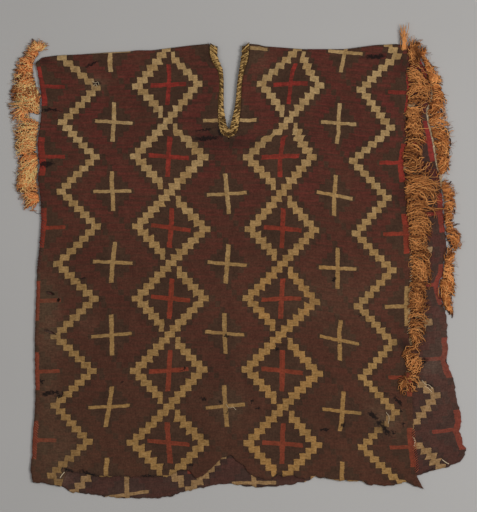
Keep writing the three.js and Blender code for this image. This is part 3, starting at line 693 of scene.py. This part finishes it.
def tapestry(name, marks, tint, tint_share, yellow_edge):
    """Woven wool: the repeat, uneven dyes, worn places, small rips, painted shade, and the weave's ribs."""
    paint = Paint(name)
    vector, step, row, yellow, red, bright_red, line = repeat_masks(paint, yellow_edge)
    # The tone's second value is painted shade.
    worn, dark, _ = paint.tone()
    broad = paint.noise(6.0, 3.0)
    patches = paint.noise(0.16, 3.0, vector=vector)
    streaks = paint.noise(1.0, 3.0, (0.12, 2.6, 1.0), vector)
    threads = paint.noise(1.0, 1.0, (1.1, 8.0, 1.0), vector)
    cell = paint.add("CombineXYZ", {0: (step * 0.5).floor(), 1: (row + 0.5).floor()}).outputs[0]
    by_cell = Term(paint.add("TexWhiteNoise", {"Vector": cell}, noise_dimensions="2D").outputs["Value"])
    low_down = ((row - 12.0) / 26.0).clip()
    low_end = ((row - 42.0) / 20.0).clip()
    right_chain = ((step - 2.0) / 5.0).clip() * ((step - 23.0) / -4.0).clip()

    brown = paint.coats(
        (53, 38, 29), (patches.spread(3.0), (63, 46, 35)), (streaks.spread(2.2) * 0.4, (76, 46, 37)))
    dark_red = paint.coats(
        (72, 36, 31), (streaks.spread(3.0), (95, 39, 36)), (patches.spread(2.5) * 0.6, (68, 43, 32)),
        (low_down * 0.62, (72, 43, 33)), (low_end * 0.5, (68, 46, 34)))
    gold = paint.coats(
        (157, 132, 96), (low_down, (138, 109, 70)), (low_end * 0.65, (132, 97, 52)),
        (right_chain * low_down * broad.spread(2.0) * 0.9, (146, 102, 50)),
        ((by_cell + (broad - 0.5)).spread(1.1) * 0.6, (118, 87, 48)),
        (threads.spread(2.4) * 0.35, (164, 138, 98)))
    crimson = paint.coats(
        (94, 38, 31), ((streaks + (by_cell - 0.5) * 0.4).spread(2.6), (126, 42, 36)),
        (low_down * 0.5, (116, 56, 34)), (low_end * 0.5, (106, 54, 38)))
    # The thin line beside the yellow is painted shadow of the slits.
    colour = paint.coats(
        brown, (red * (streaks.spread(1.8) * 0.5 + 0.55), dark_red), (bright_red, crimson), (yellow, gold),
        (line * 0.55, (46, 32, 24)), (worn * (threads.spread(2.0) * 0.5 + 0.35), (92, 74, 58)))
    colour = paint.mix(tint_share, colour, tint, "MULTIPLY")
    flecks, blotches = paint.noise(330.0, 3.0), paint.noise(90.0, 3.0)
    shade = (threads.spread(1.6) * 0.3 + 0.85) * (broad.spread(1.8) * 0.24 + 0.88)
    shade = shade * (flecks.spread(2.2) * 0.5 + 0.75) * (blotches.spread(2.0) * 0.3 + 0.85)
    grey = paint.add("CombineColor", {0: shade, 1: shade, 2: shade}).outputs[0]
    colour = paint.mix(1.0, colour, grey, "MULTIPLY")
    # Painted shade from the tone darkens the cloth, and the marks paint dark spots and shade in small rips
    # and creases.
    depth = ((marks_with_painted_shade(paint, marks) - 0.2) * 3.0).clip()
    colour = paint.coats(colour, (dark * 0.62, (26, 16, 14)), (depth * 0.92, (20, 13, 11)))

    ribs = paint.add("TexWave", {"Vector": vector, "Scale": 1.15, "Distortion": 0.6, "Detail": 1.0},
                     wave_type="BANDS", bands_direction="X")
    weave = Term(ribs.outputs["Fac"]) * 0.5 + threads * 0.6 + line * -0.7
    normal = paint.bump(weave, 0.0005, 0.7)
    normal = paint.bump(paint.noise(38.0, 4.0) + paint.noise(120.0, 3.0) * 0.35, 0.006, 0.6, normal)
    normal = paint.bump(depth * -1.0, 0.0016, 0.9, normal)
    return paint.finish(colour, normal, 0.95, 0.04)


def yarn(name, dark, middle, pale, sheen=0.1, painted_shade_colour=(58, 32, 18)):
    """Spun yarn: each strand has its own tint, strands lying low get painted shade and high ones painted
    light, and fibres twist in the bump.
    """
    paint = Paint(name)
    tint, _, high = paint.tone()
    fibres, patches = paint.noise(900.0), paint.noise(220.0)
    # Strands that lie high are painted lighter.
    ramp = paint.add("ValToRGB", {0: tint + (fibres - 0.5) * 0.4 + (patches - 0.5) * 0.5 + high * 0.3 - 0.1})
    ramp.color_ramp.elements.new(0.5)
    for stop, colour in zip(ramp.color_ramp.elements, (dark, middle, pale)):
        stop.color = linear(*colour)
    # Strands that lie low get painted shade.
    colour = paint.coats(ramp.outputs[0], ((high * -1.9 + 1.0).high(0.0).low(0.88), painted_shade_colour))
    return paint.finish(colour, paint.bump(fibres, 0.0005, 0.6), 0.85, sheen)


def tubes(name, paths, radii, tints, sides=3, depth=(0.5, 8.0)):
    """One mesh of many strands: paths (strand, point, 3) in millimetres, radii (strand, point). The tone of
    a vertex holds its strand's tint, how far along it is, and how high it lies between the depths."""
    strands, points, _ = paths.shape
    tangent = np.gradient(paths, axis=1)
    tangent /= np.linalg.norm(tangent, axis=-1, keepdims=True) + 1e-9
    across = np.cross(tangent, np.array([0.02, 0.01, 1.0]))
    across /= np.linalg.norm(across, axis=-1, keepdims=True) + 1e-9
    up = np.cross(across, tangent)
    rings = []
    for i in range(sides):
        angle = math.tau * i / sides + math.pi / 2
        rings.append(paths + radii[..., None] * (math.cos(angle) * across + math.sin(angle) * up))
    ids = np.arange(strands * points * sides).reshape(strands, points, sides)
    turned = np.roll(ids, -1, axis=2)
    quads = np.stack([ids[:, :-1], turned[:, :-1], turned[:, 1:], ids[:, 1:]], -1).reshape(-1, 4)
    faces = quads.tolist() + ids[:, 0, ::-1].tolist() + ids[:, -1].tolist()
    obj = mesh_object(name, np.stack(rings, 2).reshape(-1, 3), faces, np.ones(len(faces), bool))
    # How high a strand lies, which the yarns turn into painted shade low down and painted light high up.
    high = np.clip((paths[..., 2:] - depth[0]) / (depth[1] - depth[0]), 0, 1)
    tones = (tints[:, None, None], np.linspace(0, 1, points)[:, None], high)
    set_tone(obj, *(np.broadcast_to(tone, ids.shape) for tone in tones))
    return obj


def stretch(edge, low, high, off=0.0):
    """Rows of an edge from one height to another, moved sideways."""
    return [(y, x + off) for y, x in zip(edge["y"], edge["x"]) if low <= y <= high]


# Fringes. A lock takes spacing of the edge, reaches out by stretch of the table's reach and in by overlap,
# bends by hook and waves by curl, both in radians. The yarns rest at a height over the floor.
FRINGE_LOFT = 8.5
LEFT_FRINGE = {
    "side": -1, "seed": 24, "top": 376, "foot": 104, "bare": [(246, 256)], "rest": 0.9,
    "spacing": (13.0, 21.0), "overlap": 1.5, "hook": (0.2, 1.3), "curl": (0.4, 1.0), "stretch": 1.22,
    "route": table(("y", "x"), [
        (380, -331), (360, -330), (350, -338), (338, -341.5), (320, -338), (304, -335),
        *stretch(LEFT_EDGE, 107, 290, -3)]),
    "reach": table(("y", "x"), [
        (380, -342), (369, -346), (352, -356), (345, -363), (332, -371), (313, -375), (290, -372),
        (278, -378),
        (248, -384), (240, -377), (228, -366), (221, -373), (200, -370), (163, -366), (129, -370),
        (117, -366),
        (108, -356)]),
}
FRONT_FRINGE = {
    "side": 1, "seed": 35, "top": 380, "foot": -236, "bare": [], "rest": 3.2,
    "spacing": (15.0, 25.0), "overlap": 7.0, "hook": (0.7, 2.8), "curl": (0.35, 1.1), "stretch": 1.24,
    "route": table(("y", "x"), [
        (378, 333), *stretch(FRONT_RIGHT_EDGE, -108, 372, 2.4), (-122, 322), (-136, 324), (-148, 332),
        (-156, 326), (-164, 313), (-174, 309), (-184, 317), (-194, 323), (-204, 321), (-213, 314),
        (-221, 306), (-236, 305)]),
    "reach": table(("y", "x"), [
        (378, 338), (360, 340), (338, 346), (309, 354), (292, 356), (275, 353), (264, 345), (238, 342),
        (215, 350),
        (198, 340), (178, 335), (166, 345), (150, 364), (131, 366), (112, 346), (90, 352), (77, 356),
        (45, 357),
        (33, 351), (10, 357), (0, 346), (-14, 355), (-31, 356), (-54, 346), (-87, 350), (-107, 353),
        (-118, 346),
        (-133, 345), (-157, 341), (-174, 333), (-185, 346), (-203, 337), (-211, 338), (-221, 326),
        (-236, 320)]),
}
BACK_FRINGE = {
    "side": 1, "seed": 45, "top": 362, "foot": -86, "bare": [(136, 150), (13, 27)], "rest": 0.9,
    "spacing": (14.0, 22.0), "overlap": 2.0, "hook": (0.6, 2.4), "curl": (0.3, 0.9), "stretch": 1.12,
    "route": table(("y", "x"), [(362, 337.5), (352, 342.6), *stretch(BACK_RIGHT_EDGE, -90, 336, 2.4)]),
    "reach": table(("y", "x"), [
        (362, 348), (352, 357), (338, 366), (309, 377), (284, 385), (247, 385), (212, 396), (189, 394),
        (165, 394),
        (149, 384), (133, 386), (118, 402), (90, 402), (80, 395), (63, 398), (56, 395), (48, 410), (36, 412),
        (27, 402), (12, 397), (-3, 402), (-16, 394), (-31, 403), (-54, 398), (-62, 394), (-83, 398),
        (-90, 396)]),
}


def fringe_locks(plan):
    """The locks of a fringe from its top to its foot: each one's place, half width and bearing."""
    rng = np.random.default_rng(plan["seed"])
    middles, halves = [], []
    at = plan["top"]
    while at > plan["foot"]:
        size = rng.uniform(*plan["spacing"])
        if not any(low < at - size / 2 < high for low, high in plan["bare"]):
            middles.append(at - size / 2)
            halves.append(size / 2)
        at -= size
    count = len(middles)
    return {
        "middle": np.array(middles), "half": np.array(halves),
        "hook": np.where(rng.random(count) < 0.75, -1, 1) * rng.uniform(*plan["hook"], count),
        "first": rng.normal(0.25, 0.35, count), "wave": rng.uniform(8.0, 13.0, count),
        "curl": rng.uniform(*plan["curl"], count), "phase": rng.uniform(0, math.tau, count),
        "tint": rng.normal(0, 0.16, count), "size": rng.uniform(0.84, 1.0, count),
        "lift": rng.uniform(0.55, 1.0, count),
    }


def fringe_layer(plan, count, seed, loose, levels, tint_middle, thick, points=26):
    """One layer of crimped yarns. They belong to locks, each of which fans out from its own stretch of the
    edge, bulges in its middle and hooks over; loose says how far a yarn goes its own way, from 0 to 1."""
    rng = np.random.default_rng(seed)
    locks = fringe_locks(plan)
    pick = rng.integers(0, len(locks["middle"]), count)
    lock = {name: values[pick] for name, values in locks.items()}

    def own(tight, free):
        return rng.normal(0, tight + loose * (free - tight), count)

    place = rng.uniform(-1, 1, count)
    bulge = 1 - (1 - loose) * place**4
    root_y = lock["middle"] + lock["half"] * (1.12 * place + own(0.05, 0.7))
    root_y = np.clip(root_y, plan["foot"], plan["top"])
    for low, high in plan["bare"]:
        inside = (root_y > low) & (root_y < high)
        root_y = np.where(inside, np.where(root_y > (low + high) / 2, high, low), root_y)
    root_x = x_at(plan["route"], root_y)
    whole = plan["side"] * (x_at(plan["reach"], root_y) - root_x) * lock["size"] * plan["stretch"]
    whole = np.maximum(6.0, whole)
    inset = whole * loose * 0.6 * rng.random(count) - plan["overlap"] * bulge * rng.random(count)
    reach = np.maximum(5.0, (whole - inset) * (0.6 + 0.4 * bulge) * (1 - 0.45 * rng.random(count) ** 1.5))

    t = np.linspace(0, 1, points)
    wave = lock["wave"] * (1 + own(0.04, 0.25))
    swing = math.tau * t * (1.5 * reach / wave)[:, None] + (lock["phase"] + own(0.3, 2.5))[:, None]
    bend = (lock["hook"] + own(0.25, 1.6))[:, None]
    turn = (lock["first"] + 0.45 * place + own(0.12, 0.6))[:, None] + bend * t**1.4
    turn = turn + (lock["curl"] * rng.uniform(0.7, 1.3, count))[:, None] * np.sin(swing)
    out, down = np.cumsum(np.cos(turn), 1), np.cumsum(np.sin(turn), 1)
    scale = np.minimum(reach / np.maximum(out.max(1), 1.0), 1.9 * reach / points)[:, None]
    out = np.maximum((out - out[:, :1]) * scale, -2.5)
    down = np.clip((down - down[:, :1]) * scale, -18, 13)
    level = rng.uniform(*levels, count) * (0.25 + 0.75 * bulge) * (1 - (1 - loose) * (1 - lock["lift"]))
    arch = np.sin(math.pi * np.clip(t * 0.8 + 0.16, 0, 1))
    ripple = 0.6 * (1 + np.cos(swing)) * np.minimum(1, 4 * t)
    z = plan["rest"] + level[:, None] * FRINGE_LOFT * arch + ripple
    radius = rng.uniform(*thick, count)[:, None] * (1 - 0.5 * t**4)
    # Strands at a lock's edges are tinted darker, painted shade between the locks.
    tint = tint_middle + lock["tint"] + rng.normal(0, 0.22, count) - 0.6 * (1 - bulge)
    x = root_x[:, None] + plan["side"] * (inset[:, None] + out)
    return np.stack([x, root_y[:, None] + down, z], -1), radius, np.clip(tint, 0, 1)


def fringe(plan, counts, seed):
    """A close layer tinted dark as painted shade under the locks, locks over it, and loose curls on top."""
    return (
        fringe_layer(plan, counts[0], seed, 0.4, (0.0, 0.1), 0.0, (1.1, 1.5), 16),
        fringe_layer(plan, counts[1], seed + 1, 0.08, (0.35, 1.0), 0.52, (0.7, 1.0)),
        fringe_layer(plan, counts[2], seed + 2, 0.85, (0.2, 0.9), 0.58, (0.55, 0.85)),
    )


def fringe_wisps(plan, count, seed, points=8):
    """Thin loose hairs that stand out past the locks."""
    rng = np.random.default_rng(seed)
    side = plan["side"]
    root_y = rng.uniform(plan["foot"], plan["top"], count)
    root_x = x_at(plan["reach"], root_y) - side * rng.uniform(3, 9, count)
    t = np.linspace(0, 1, points)
    heading = rng.normal(0, 0.7, count)[:, None] + rng.normal(0, 1.3, count)[:, None] * t
    step = rng.uniform(6, 15, count)[:, None] / points
    x = root_x[:, None] + side * np.cumsum(np.cos(heading), 1) * step
    y = root_y[:, None] + np.cumsum(np.sin(heading), 1) * step
    z = plan["rest"] + rng.uniform(0.5, 4, count)[:, None] * (1 - 0.6 * t)
    return np.stack([x, y, z], -1), 0.26 * (1 - 0.5 * t), rng.uniform(0.5, 0.9, count)


def tuft(x, y, heading, length, count, seed, spread=4.0, rest=2.0, fan=(0.25, 0.9), tint=0.6, points=12):
    """A loose tuft: strands from one place that fan out about one heading, in degrees."""
    rng = np.random.default_rng(seed)
    t = np.linspace(0, 1, points)
    turn = math.radians(heading) + rng.normal(0, fan[0], (count, 1))
    turn = turn + rng.normal(0, fan[1], (count, 1)) * t**1.5
    size = length * rng.uniform(0.45, 1.05, (count, 1)) / points
    wave = 0.8 * np.sin(np.linspace(0, 9, points) + rng.uniform(0, 6.3, (count, 1)))
    px = x + rng.normal(0, spread, (count, 1)) + np.cumsum(np.cos(turn), 1) * size - wave * np.sin(turn)
    py = y + rng.normal(0, spread * 0.5, (count, 1)) + np.cumsum(np.sin(turn), 1) * size + wave * np.cos(turn)
    pz = rest + rng.uniform(0, 5, (count, 1)) * np.sin(math.pi * np.clip(t * 0.9 + 0.08, 0, 1))
    radius = rng.uniform(0.6, 0.9, (count, 1)) * (1 - 0.45 * t**3)
    return np.stack([px, py, pz], -1), radius, np.clip(rng.normal(tint, 0.16, count), 0, 1)


def joined(groups, points):
    """Several groups of strands as one, each brought to the same number of points."""
    strands, tints = [], []
    for path, radius, tint in groups:
        radius = np.broadcast_to(radius, path.shape[:2])
        strand = np.concatenate([path, radius[..., None]], -1)
        at = np.linspace(0, path.shape[1] - 1, points)
        low = np.minimum(at.astype(int), path.shape[1] - 2)
        share = (at - low)[:, None]
        strands.append(strand[:, low] * (1 - share) + strand[:, low + 1] * share)
        tints.append(tint)
    strands = np.concatenate(strands)
    return strands[..., :3], strands[..., 3], np.concatenate(tints)


def along_route(rows, spacing):
    """Evenly spaced stations of a table's line, each value in a column, and the direction of travel."""
    lengths = np.concatenate([[0], np.cumsum(np.hypot(np.diff(rows["x"]), np.diff(rows["y"])))])
    at = np.linspace(0, lengths[-1], max(2, int(lengths[-1] / spacing)))
    line = {name: np.interp(at, lengths, values)[:, None] for name, values in rows.items()}
    tx, ty = np.gradient(line["x"], axis=0), np.gradient(line["y"], axis=0)
    size = np.hypot(tx, ty)
    return {**line, "tx": tx / size, "ty": ty / size}


def beside(line, off, forward, z):
    """Places to the right of a line's stations by off, and forward of them."""
    x = line["x"] + line["ty"] * off + line["tx"] * forward
    y = line["y"] - line["tx"] * off + line["ty"] * forward
    return np.stack([x, y, z + np.zeros_like(x)], -1)


# Where the neck's core cords lie, from one side of the binding to the other.
CORE_LANES = np.array([-0.62, -0.22, 0.2, 0.6, 0.86])
STITCH_SPACING = 1.1
STITCH_POINTS = 7


def neck_plait(name, low_at, height, seed):
    """The neck's edge: core cords with slanting gold and brown stitches wound over them, the slant turned
    over from one side of the slit to the other, and small pale stitches where it is broad."""
    rng = np.random.default_rng(seed)
    line = along_route(NECK_BINDING, STITCH_SPACING)
    half = line["half"]
    count = len(half)
    low = low_at(line["x"], line["y"])
    lane = np.where(np.arange(count) % 2 == 0, -0.4, 0.42) + rng.normal(0, 0.1, count)
    share = lane[:, None] + rng.uniform(0.42, 0.62, (count, 1)) * np.linspace(-1, 1, STITCH_POINTS)
    share = np.clip(share, -1, 1)
    bright = rng.random((count, 1)) < 0.5

    def varied(when_bright, when_dull):
        return np.where(bright, rng.uniform(*when_bright, (count, 1)), rng.uniform(*when_dull, (count, 1)))

    off = share * (half * rng.uniform(0.86, 1.0, (count, 1)) - 0.8)
    lean = (0.8 * line["ty"] + rng.normal(0, 0.22, (count, 1))) * off + 0.8 * rng.normal(0, 1, (count, 1))
    rise = np.sqrt(np.clip(1 - share**2 * 0.93, 0, 1)) * (height - 1.9)
    path = beside(line, off, lean, low + 0.9 + rise + varied((0.2, 1.1), (-0.6, 0.1)))
    radius = varied((0.8, 1.2), (0.7, 1.0))
    wound = (path, radius, varied((0.4, 1.0), (0.0, 0.4))[:, 0])

    broad = (half[:, 0] > 5.8) & (rng.random(count) < 0.45)
    arc = np.linspace(-0.5, 0.5, 5)
    across = arc * rng.uniform(1.8, 2.8, (count, 1))
    crest = low + height * 0.62 + 0.8 * (1 - (2 * arc) ** 2)
    pale_path = beside(line, half - 1.6 + across, across * 0.8, crest)[broad]
    pale = (pale_path, 0.7, rng.uniform(0.35, 0.85, len(pale_path)))
    stitches = tubes(name, *joined([wound, pale], STITCH_POINTS), sides=5, depth=(0.0, 5.0))

    core = np.swapaxes(beside(line, CORE_LANES * half, 0.0, low + height * 0.34), 0, 1)
    core_radius = np.broadcast_to(np.minimum(half[:, 0] * 0.3, height * 0.3), core.shape[:2])
    return stitches, tubes(name + "_core", core, core_radius, np.full(len(CORE_LANES), 0.15), sides=6)


def slants(rows, spacing, length, lean, low, lift, radius, seed, tint):
    """Overcast stitches over an edge: short arcs across a route. lean is their slope along the edge."""
    rng = np.random.default_rng(seed)
    line = along_route(rows, spacing)
    share = np.linspace(-0.5, 0.5, 5)
    off = share * length * rng.uniform(0.75, 1.2, (len(line["x"]), 1))
    path = beside(line, off, lean * off, low + lift * (1 - (2 * share) ** 2))
    return path, radius, rng.uniform(*tint, len(path))


def curve(values, at):
    """A smooth curve through values that stand at 0, 1, 2 and so on."""
    slopes = np.gradient(values)
    i = np.clip(np.ceil(at).astype(int) - 1, 0, len(values) - 2)
    t = at - i
    bend = t * (1 - t) * (slopes[i] * (1 - t) - slopes[i + 1] * t)
    return values[i] + (values[i + 1] - values[i]) * smoothstep(t) + bend


def thread(z, radius, tint, *pixels):
    """A loose thread through a few pixels of the picture, smoothed."""
    x, y = from_picture(*np.array(pixels).T)
    at = np.linspace(0, len(pixels) - 1, 14)
    return np.stack([curve(x, at), curve(y, at), np.full(len(at), z)], -1)[None], radius, np.array([tint])


RIP_SIDES = 14
RIP_FRAY = 0.16
CUT_FROM, CUT_TO = -20.0, 30.0


def cut_rips(obj):
    """Cuts the rips through the shell, each with an upright prism of a frayed outline."""
    angles = np.arange(RIP_SIDES) * math.tau / RIP_SIDES
    vertices, faces = [], []
    for i, (x, y, long, wide, turn) in enumerate(zip(*RIPS.values())):
        frayed = (1 + RIP_FRAY * np.sin(angles * 5 + i)) / 2
        a, b = np.cos(angles) * long * frayed, np.sin(angles) * wide * frayed
        cos, sin = math.cos(math.radians(turn)), math.sin(math.radians(turn))
        foot = [2 * RIP_SIDES * i + n for n in range(RIP_SIDES)]
        head = [n + RIP_SIDES for n in foot]
        outline = list(zip(x + a * cos - b * sin, y + a * sin + b * cos))
        vertices += [(*at, z) for z in (CUT_FROM, CUT_TO) for at in outline]
        faces += [foot[::-1], head, *zip(foot, foot[1:] + foot[:1], head[1:] + head[:1], head)]
    cutter = mesh_object("rip_cutter", vertices, faces, np.zeros(len(faces), bool))
    modifier = obj.modifiers.new("rips", "BOOLEAN")
    modifier.operation = "DIFFERENCE"
    modifier.solver = "EXACT"
    modifier.object = cutter
    bpy.context.view_layer.update()
    depsgraph = bpy.context.evaluated_depsgraph_get()
    whole = bpy.data.meshes.new_from_object(obj.evaluated_get(depsgraph))
    obj.modifiers.clear()
    obj.data = whole
    bpy.data.objects.remove(cutter)


# The nose that the front's shell makes at the fold: how far below the fold its rows are.
NOSE_ROWS = (3.2, 1.2, 0.0)


def nose_faces(down, top, bottom):
    """The shell's faces near the fold, where the front turns down to a thin rounded edge."""
    tip, bent, flat = down < 0.6, down < 2.2, down < 3.35
    low = np.where(tip, top / 2 - 0.3, np.where(bent, 0.45, np.where(flat, 0.1, bottom)))
    return np.where(tip, top / 2 + 0.3, np.where(bent, top - 0.35, top)), low


def cloth_piece(name, places, relief, underside, place, seed, material, has_nose=False):
    """A panel's shell, with its place in the repeat, its worn places and its places of painted shade."""
    x, y, quads = grid_quads(places)
    bottom = underside + relief(x, y)
    top = bottom + CLOTH_WALL
    if has_nose:
        top, bottom = nose_faces(y_at(SHOULDER_FOLD, x) - y, top, bottom)
    obj, x, y = shell(name, x, y, top, bottom, quads)
    set_chart(obj, *repeat_place(place, x, y, seed))
    # The tone holds wear, painted shade, and nothing in its third value.
    set_tone(obj, blobs(WORN_PLACES, x, y), blobs(PAINTED_SHADE_PLACES, x, y), np.zeros(len(x)))
    obj.data.materials.append(material)
    return obj


def put(obj, slot_name, *nodes):
    """Lets a piece ride and hides the nodes that it stands for; slot_name is not used."""
    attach(obj, "root")
    if nodes:
        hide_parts(*nodes)


def put_strands(name, groups, points, material, slot_name=None, nodes=(), depth=(0.5, 8.0)):
    """One piece of many strands."""
    obj = tubes(name, *joined(groups, points), depth=depth)
    obj.data.materials.append(material)
    put(obj, slot_name, *nodes)


# Camera, straight above the middle of the picture.
CAMERA_HEIGHT = 5.0
SENSOR = 36.0
camera_data = bpy.data.cameras.new("camera")
camera_data.sensor_width = SENSOR
camera_data.lens = SENSOR * CAMERA_HEIGHT / PICTURE_HEIGHT
camera = placed("camera", camera_data)
camera.location = to_row([*from_picture(*PICTURE_MIDDLE), 3.0]) + (0, 0, CAMERA_HEIGHT)
bpy.context.scene.camera = camera

# Cloth.
front_places = panel_grid(LEFT_EDGE, FRONT_RIGHT_EDGE, FRONT_FOOT, FOLD_DEPTH + SEAM_GAP, 4.0, 91, NOSE_ROWS)
front_cloth = cloth_piece(
    "front_cloth", front_places, front_relief, FRONT_UNDERSIDE, front_place, 81,
    tapestry("front_tapestry", MARKS, (0.93, 0.89, 0.8, 1.0), 1.0, 1.0), has_nose=True)
cut_rips(front_cloth)
back_places = panel_grid(LEFT_EDGE, BACK_RIGHT_EDGE, BACK_FOOT, FOLD_DEPTH + 2 * SEAM_GAP, 4.6, 94)
back_cloth = cloth_piece(
    "back_cloth", back_places, back_relief, 0.0, back_place, 82,
    tapestry("back_tapestry", BACK_MARKS, (0.9, 0.9, 1.06, 1.0), 0.9, 0.0))
put(front_cloth, "tapestry", "front_panel")
put(back_cloth, "tapestry", "back_panel")

# Neck binding. The front's cords rest on the back's, and grip the front's cut edge.
CORD_OVERHANG = 0.9
FRONT_CORD_REST = 3.8


def front_cord_low(x, y):
    return np.maximum(FRONT_UNDERSIDE + front_relief(x, y, False) - CORD_OVERHANG, FRONT_CORD_REST)


neck_yarn = yarn("neck_yarn", (40, 27, 13), (98, 70, 33), (178, 144, 88), 0.04, (24, 16, 9))
for name, low_at, height, node, seed in (
    ("neck_plait_front", front_cord_low, 4.4, "neck_binding_front", 11),
    ("neck_plait_back", lambda x, y: np.zeros_like(x), 3.4, "neck_binding_back", 12),
):
    for obj in neck_plait(name, low_at, height, seed):
        obj.data.materials.append(neck_yarn)
        put(obj, "neck_cord", node)

# Fringes.
fringe_yarn = yarn("fringe_yarn", (72, 36, 13), (140, 84, 38), (202, 142, 82), 0.05, (26, 13, 6))
left_yarn = yarn("left_fringe_yarn", (112, 58, 22), (212, 132, 70), (250, 190, 128), 0.08, (46, 23, 10))
back_yarn = yarn("back_fringe_yarn", (94, 48, 18), (168, 100, 45), (216, 154, 90), 0.06, (36, 18, 8))
put_strands("fringe_left_yarn", [
    *fringe(LEFT_FRINGE, (240, 420, 330), 21),
    fringe_wisps(LEFT_FRINGE, 90, 25),
    tuft(-333, 366, 62, 20, 60, 26, fan=(0.3, 0.7)),
    tuft(-352, 264, 232, 30, 34, 27, rest=1.6, fan=(0.4, 0.7)),
], 26, left_yarn, "fringe", ["fringe_left"])
put_strands("fringe_right_front_yarn", [
    *fringe(FRONT_FRINGE, (250, 560, 200), 31),
    fringe_wisps(FRONT_FRINGE, 24, 36),
    tuft(322, 368, 60, 24, 26, 37, 5.0, 2.8),
    tuft(309, 366, 88, 50, 30, 38, 2.4, 4.2, (0.07, 0.22), 0.85),
    tuft(336, 134, -4, 58, 16, 39, 8.0, 4.0, (0.35, 1.1)),
    tuft(338, 98, 4, 54, 14, 40, 7.0, 4.0, (0.35, 1.1)),
    tuft(318, 258, -20, 24, 16, 38, 5.0, 4.0, (0.4, 0.9)),
], 26, fringe_yarn, "fringe", ["fringe_right_front"])
put_strands("fringe_right_back_yarn", [
    *fringe(BACK_FRINGE, (250, 480, 280), 41),
    fringe_wisps(BACK_FRINGE, 80, 46),
    tuft(338, 360, 60, 18, 24, 47, rest=1.2),
], 26, back_yarn, "fringe", ["fringe_right_back"])

# Selvedge, overcasting and loose threads. Each thread: height, radius, tint, pixels of the picture.
cream_yarn = yarn("cream_thread", (104, 84, 60), (156, 132, 100), (200, 182, 150))
dark_yarn = yarn("dark_thread", (26, 18, 16), (46, 28, 24), (84, 42, 36))
orange_yarn = yarn("orange_thread", (84, 36, 26), (124, 56, 36), (152, 80, 50))
selvedge = table(("y", "x"), stretch(BACK_RIGHT_EDGE, 130, 310, 1.3))
front_seam = table(("y", "x"), stretch(FRONT_RIGHT_EDGE, -130, 60))
left_seam = table(("y", "x"), stretch(LEFT_EDGE, -20, 110, 2.5))
low_right = picture_table(("x", "y"), [(413, 431), (415, 452), (417, 471)])
low_left = picture_table(("x", "y"), [(37, 424), (36, 440), (34.5, 458)])
THREAD_DEPTH = (-4.0, 4.0)
put_strands("cream_threads", [
    slants(selvedge, 1.5, 3.8, 0.6, 1.6, 0.8, 0.75, 51, (0.4, 1.0)),
    slants(front_seam, 4.2, 4.2, 0.7, 3.7, 0.9, 0.55, 52, (0.2, 0.8)),
    thread(4.6, 0.5, 0.9, (92, 81), (95, 83), (98, 82), (99, 85)),
    thread(4.6, 0.5, 0.8, (93, 86), (96, 84), (97, 87)),
    thread(4.4, 0.9, 1.0, (60, 478), (62, 475), (64.5, 472)),
    thread(3.0, 0.6, 0.9, (422, 380), (425, 384), (429, 385), (433, 389)),
    thread(3.0, 0.6, 0.8, (424, 386), (428, 388), (432, 392)),
    thread(4.6, 0.5, 0.7, (226, 404), (229, 408), (233, 407), (236, 410)),
    thread(3.2, 1.2, 1.0, (413, 437), (415, 441), (414, 446)),
    thread(3.0, 0.9, 1.0, (442, 459.5), (446, 462.5), (449, 464)),
    thread(5.0, 0.5, 0.8, (386, 412), (389, 417), (388, 424)),
], 8, cream_yarn, depth=THREAD_DEPTH)
put_strands("dark_threads", [
    slants(left_seam, 4.4, 7.0, -0.7, 3.4, 1.1, 0.6, 53, (0.0, 1.0)),
    thread(1.4, 0.4, 0.6, (33.5, 209.5), (36, 213), (39.5, 214), (43, 211), (47.5, 209)),
    thread(2.4, 0.5, 0.0, (449, 291), (452, 294), (455, 296)),
    thread(2.4, 0.5, 0.0, (450, 305), (453, 309), (451, 313)),
    thread(3.4, 0.5, 0.1, (452, 298), (449, 301), (447, 300)),
], 8, dark_yarn, depth=THREAD_DEPTH)
put_strands("orange_threads", [
    slants(low_right, 3.6, 7.5, 0.8, 3.6, 1.4, 0.8, 54, (0.2, 0.9)),
    slants(low_left, 3.8, 6.5, -0.8, 3.6, 1.2, 0.7, 55, (0.2, 0.8)),
], 8, orange_yarn, depth=THREAD_DEPTH)

# Floor and light.
FLOOR_HALF = 6
FLOOR_DROP = 0.0006
corners = [(x * FLOOR_HALF, y * FLOOR_HALF, -FLOOR_DROP) for x, y in ((-1, -1), (1, -1), (1, 1), (-1, 1))]
floor_mesh = bpy.data.meshes.new("floor")
floor_mesh.from_pydata(corners, [], [(0, 1, 2, 3)])
floor = placed("floor", floor_mesh)
floor_paint = Paint("floor_paint")
floor_colour = floor_paint.coats((157, 155, 153), (floor_paint.noise(3.0), (162, 160, 158)))
floor_grain = floor_paint.bump(floor_paint.noise(400.0), 0.0002, 0.2)
floor_mesh.materials.append(floor_paint.finish(floor_colour, floor_grain, 0.85, 0.0))

world = bpy.data.worlds.new("studio")
world.use_nodes = True
background = world.node_tree.nodes["Background"]
background.inputs["Color"].default_value = (1.0, 1.0, 0.985, 1.0)
background.inputs["Strength"].default_value = 0.225
bpy.context.scene.world = world
LIT_PLACE = Vector((0.05, 0.0, 0.0))
for name, place, size, power in (
    ("key_light", (1.7, -0.1, 2.35), 1.3, 43.0),
    ("fill_light", (-1.6, 0.9, 2.6), 2.4, 14.5),
):
    light_data = bpy.data.lights.new(name, "AREA")
    light_data.shape = "SQUARE"
    light_data.size = size
    light_data.energy = power
    light = placed(name, light_data)
    light.location = place
    light.rotation_mode = "QUATERNION"
    light.rotation_quaternion = (LIT_PLACE - Vector(place)).to_track_quat("-Z", "Y")
bpy.context.scene.view_settings.view_transform = "Standard"
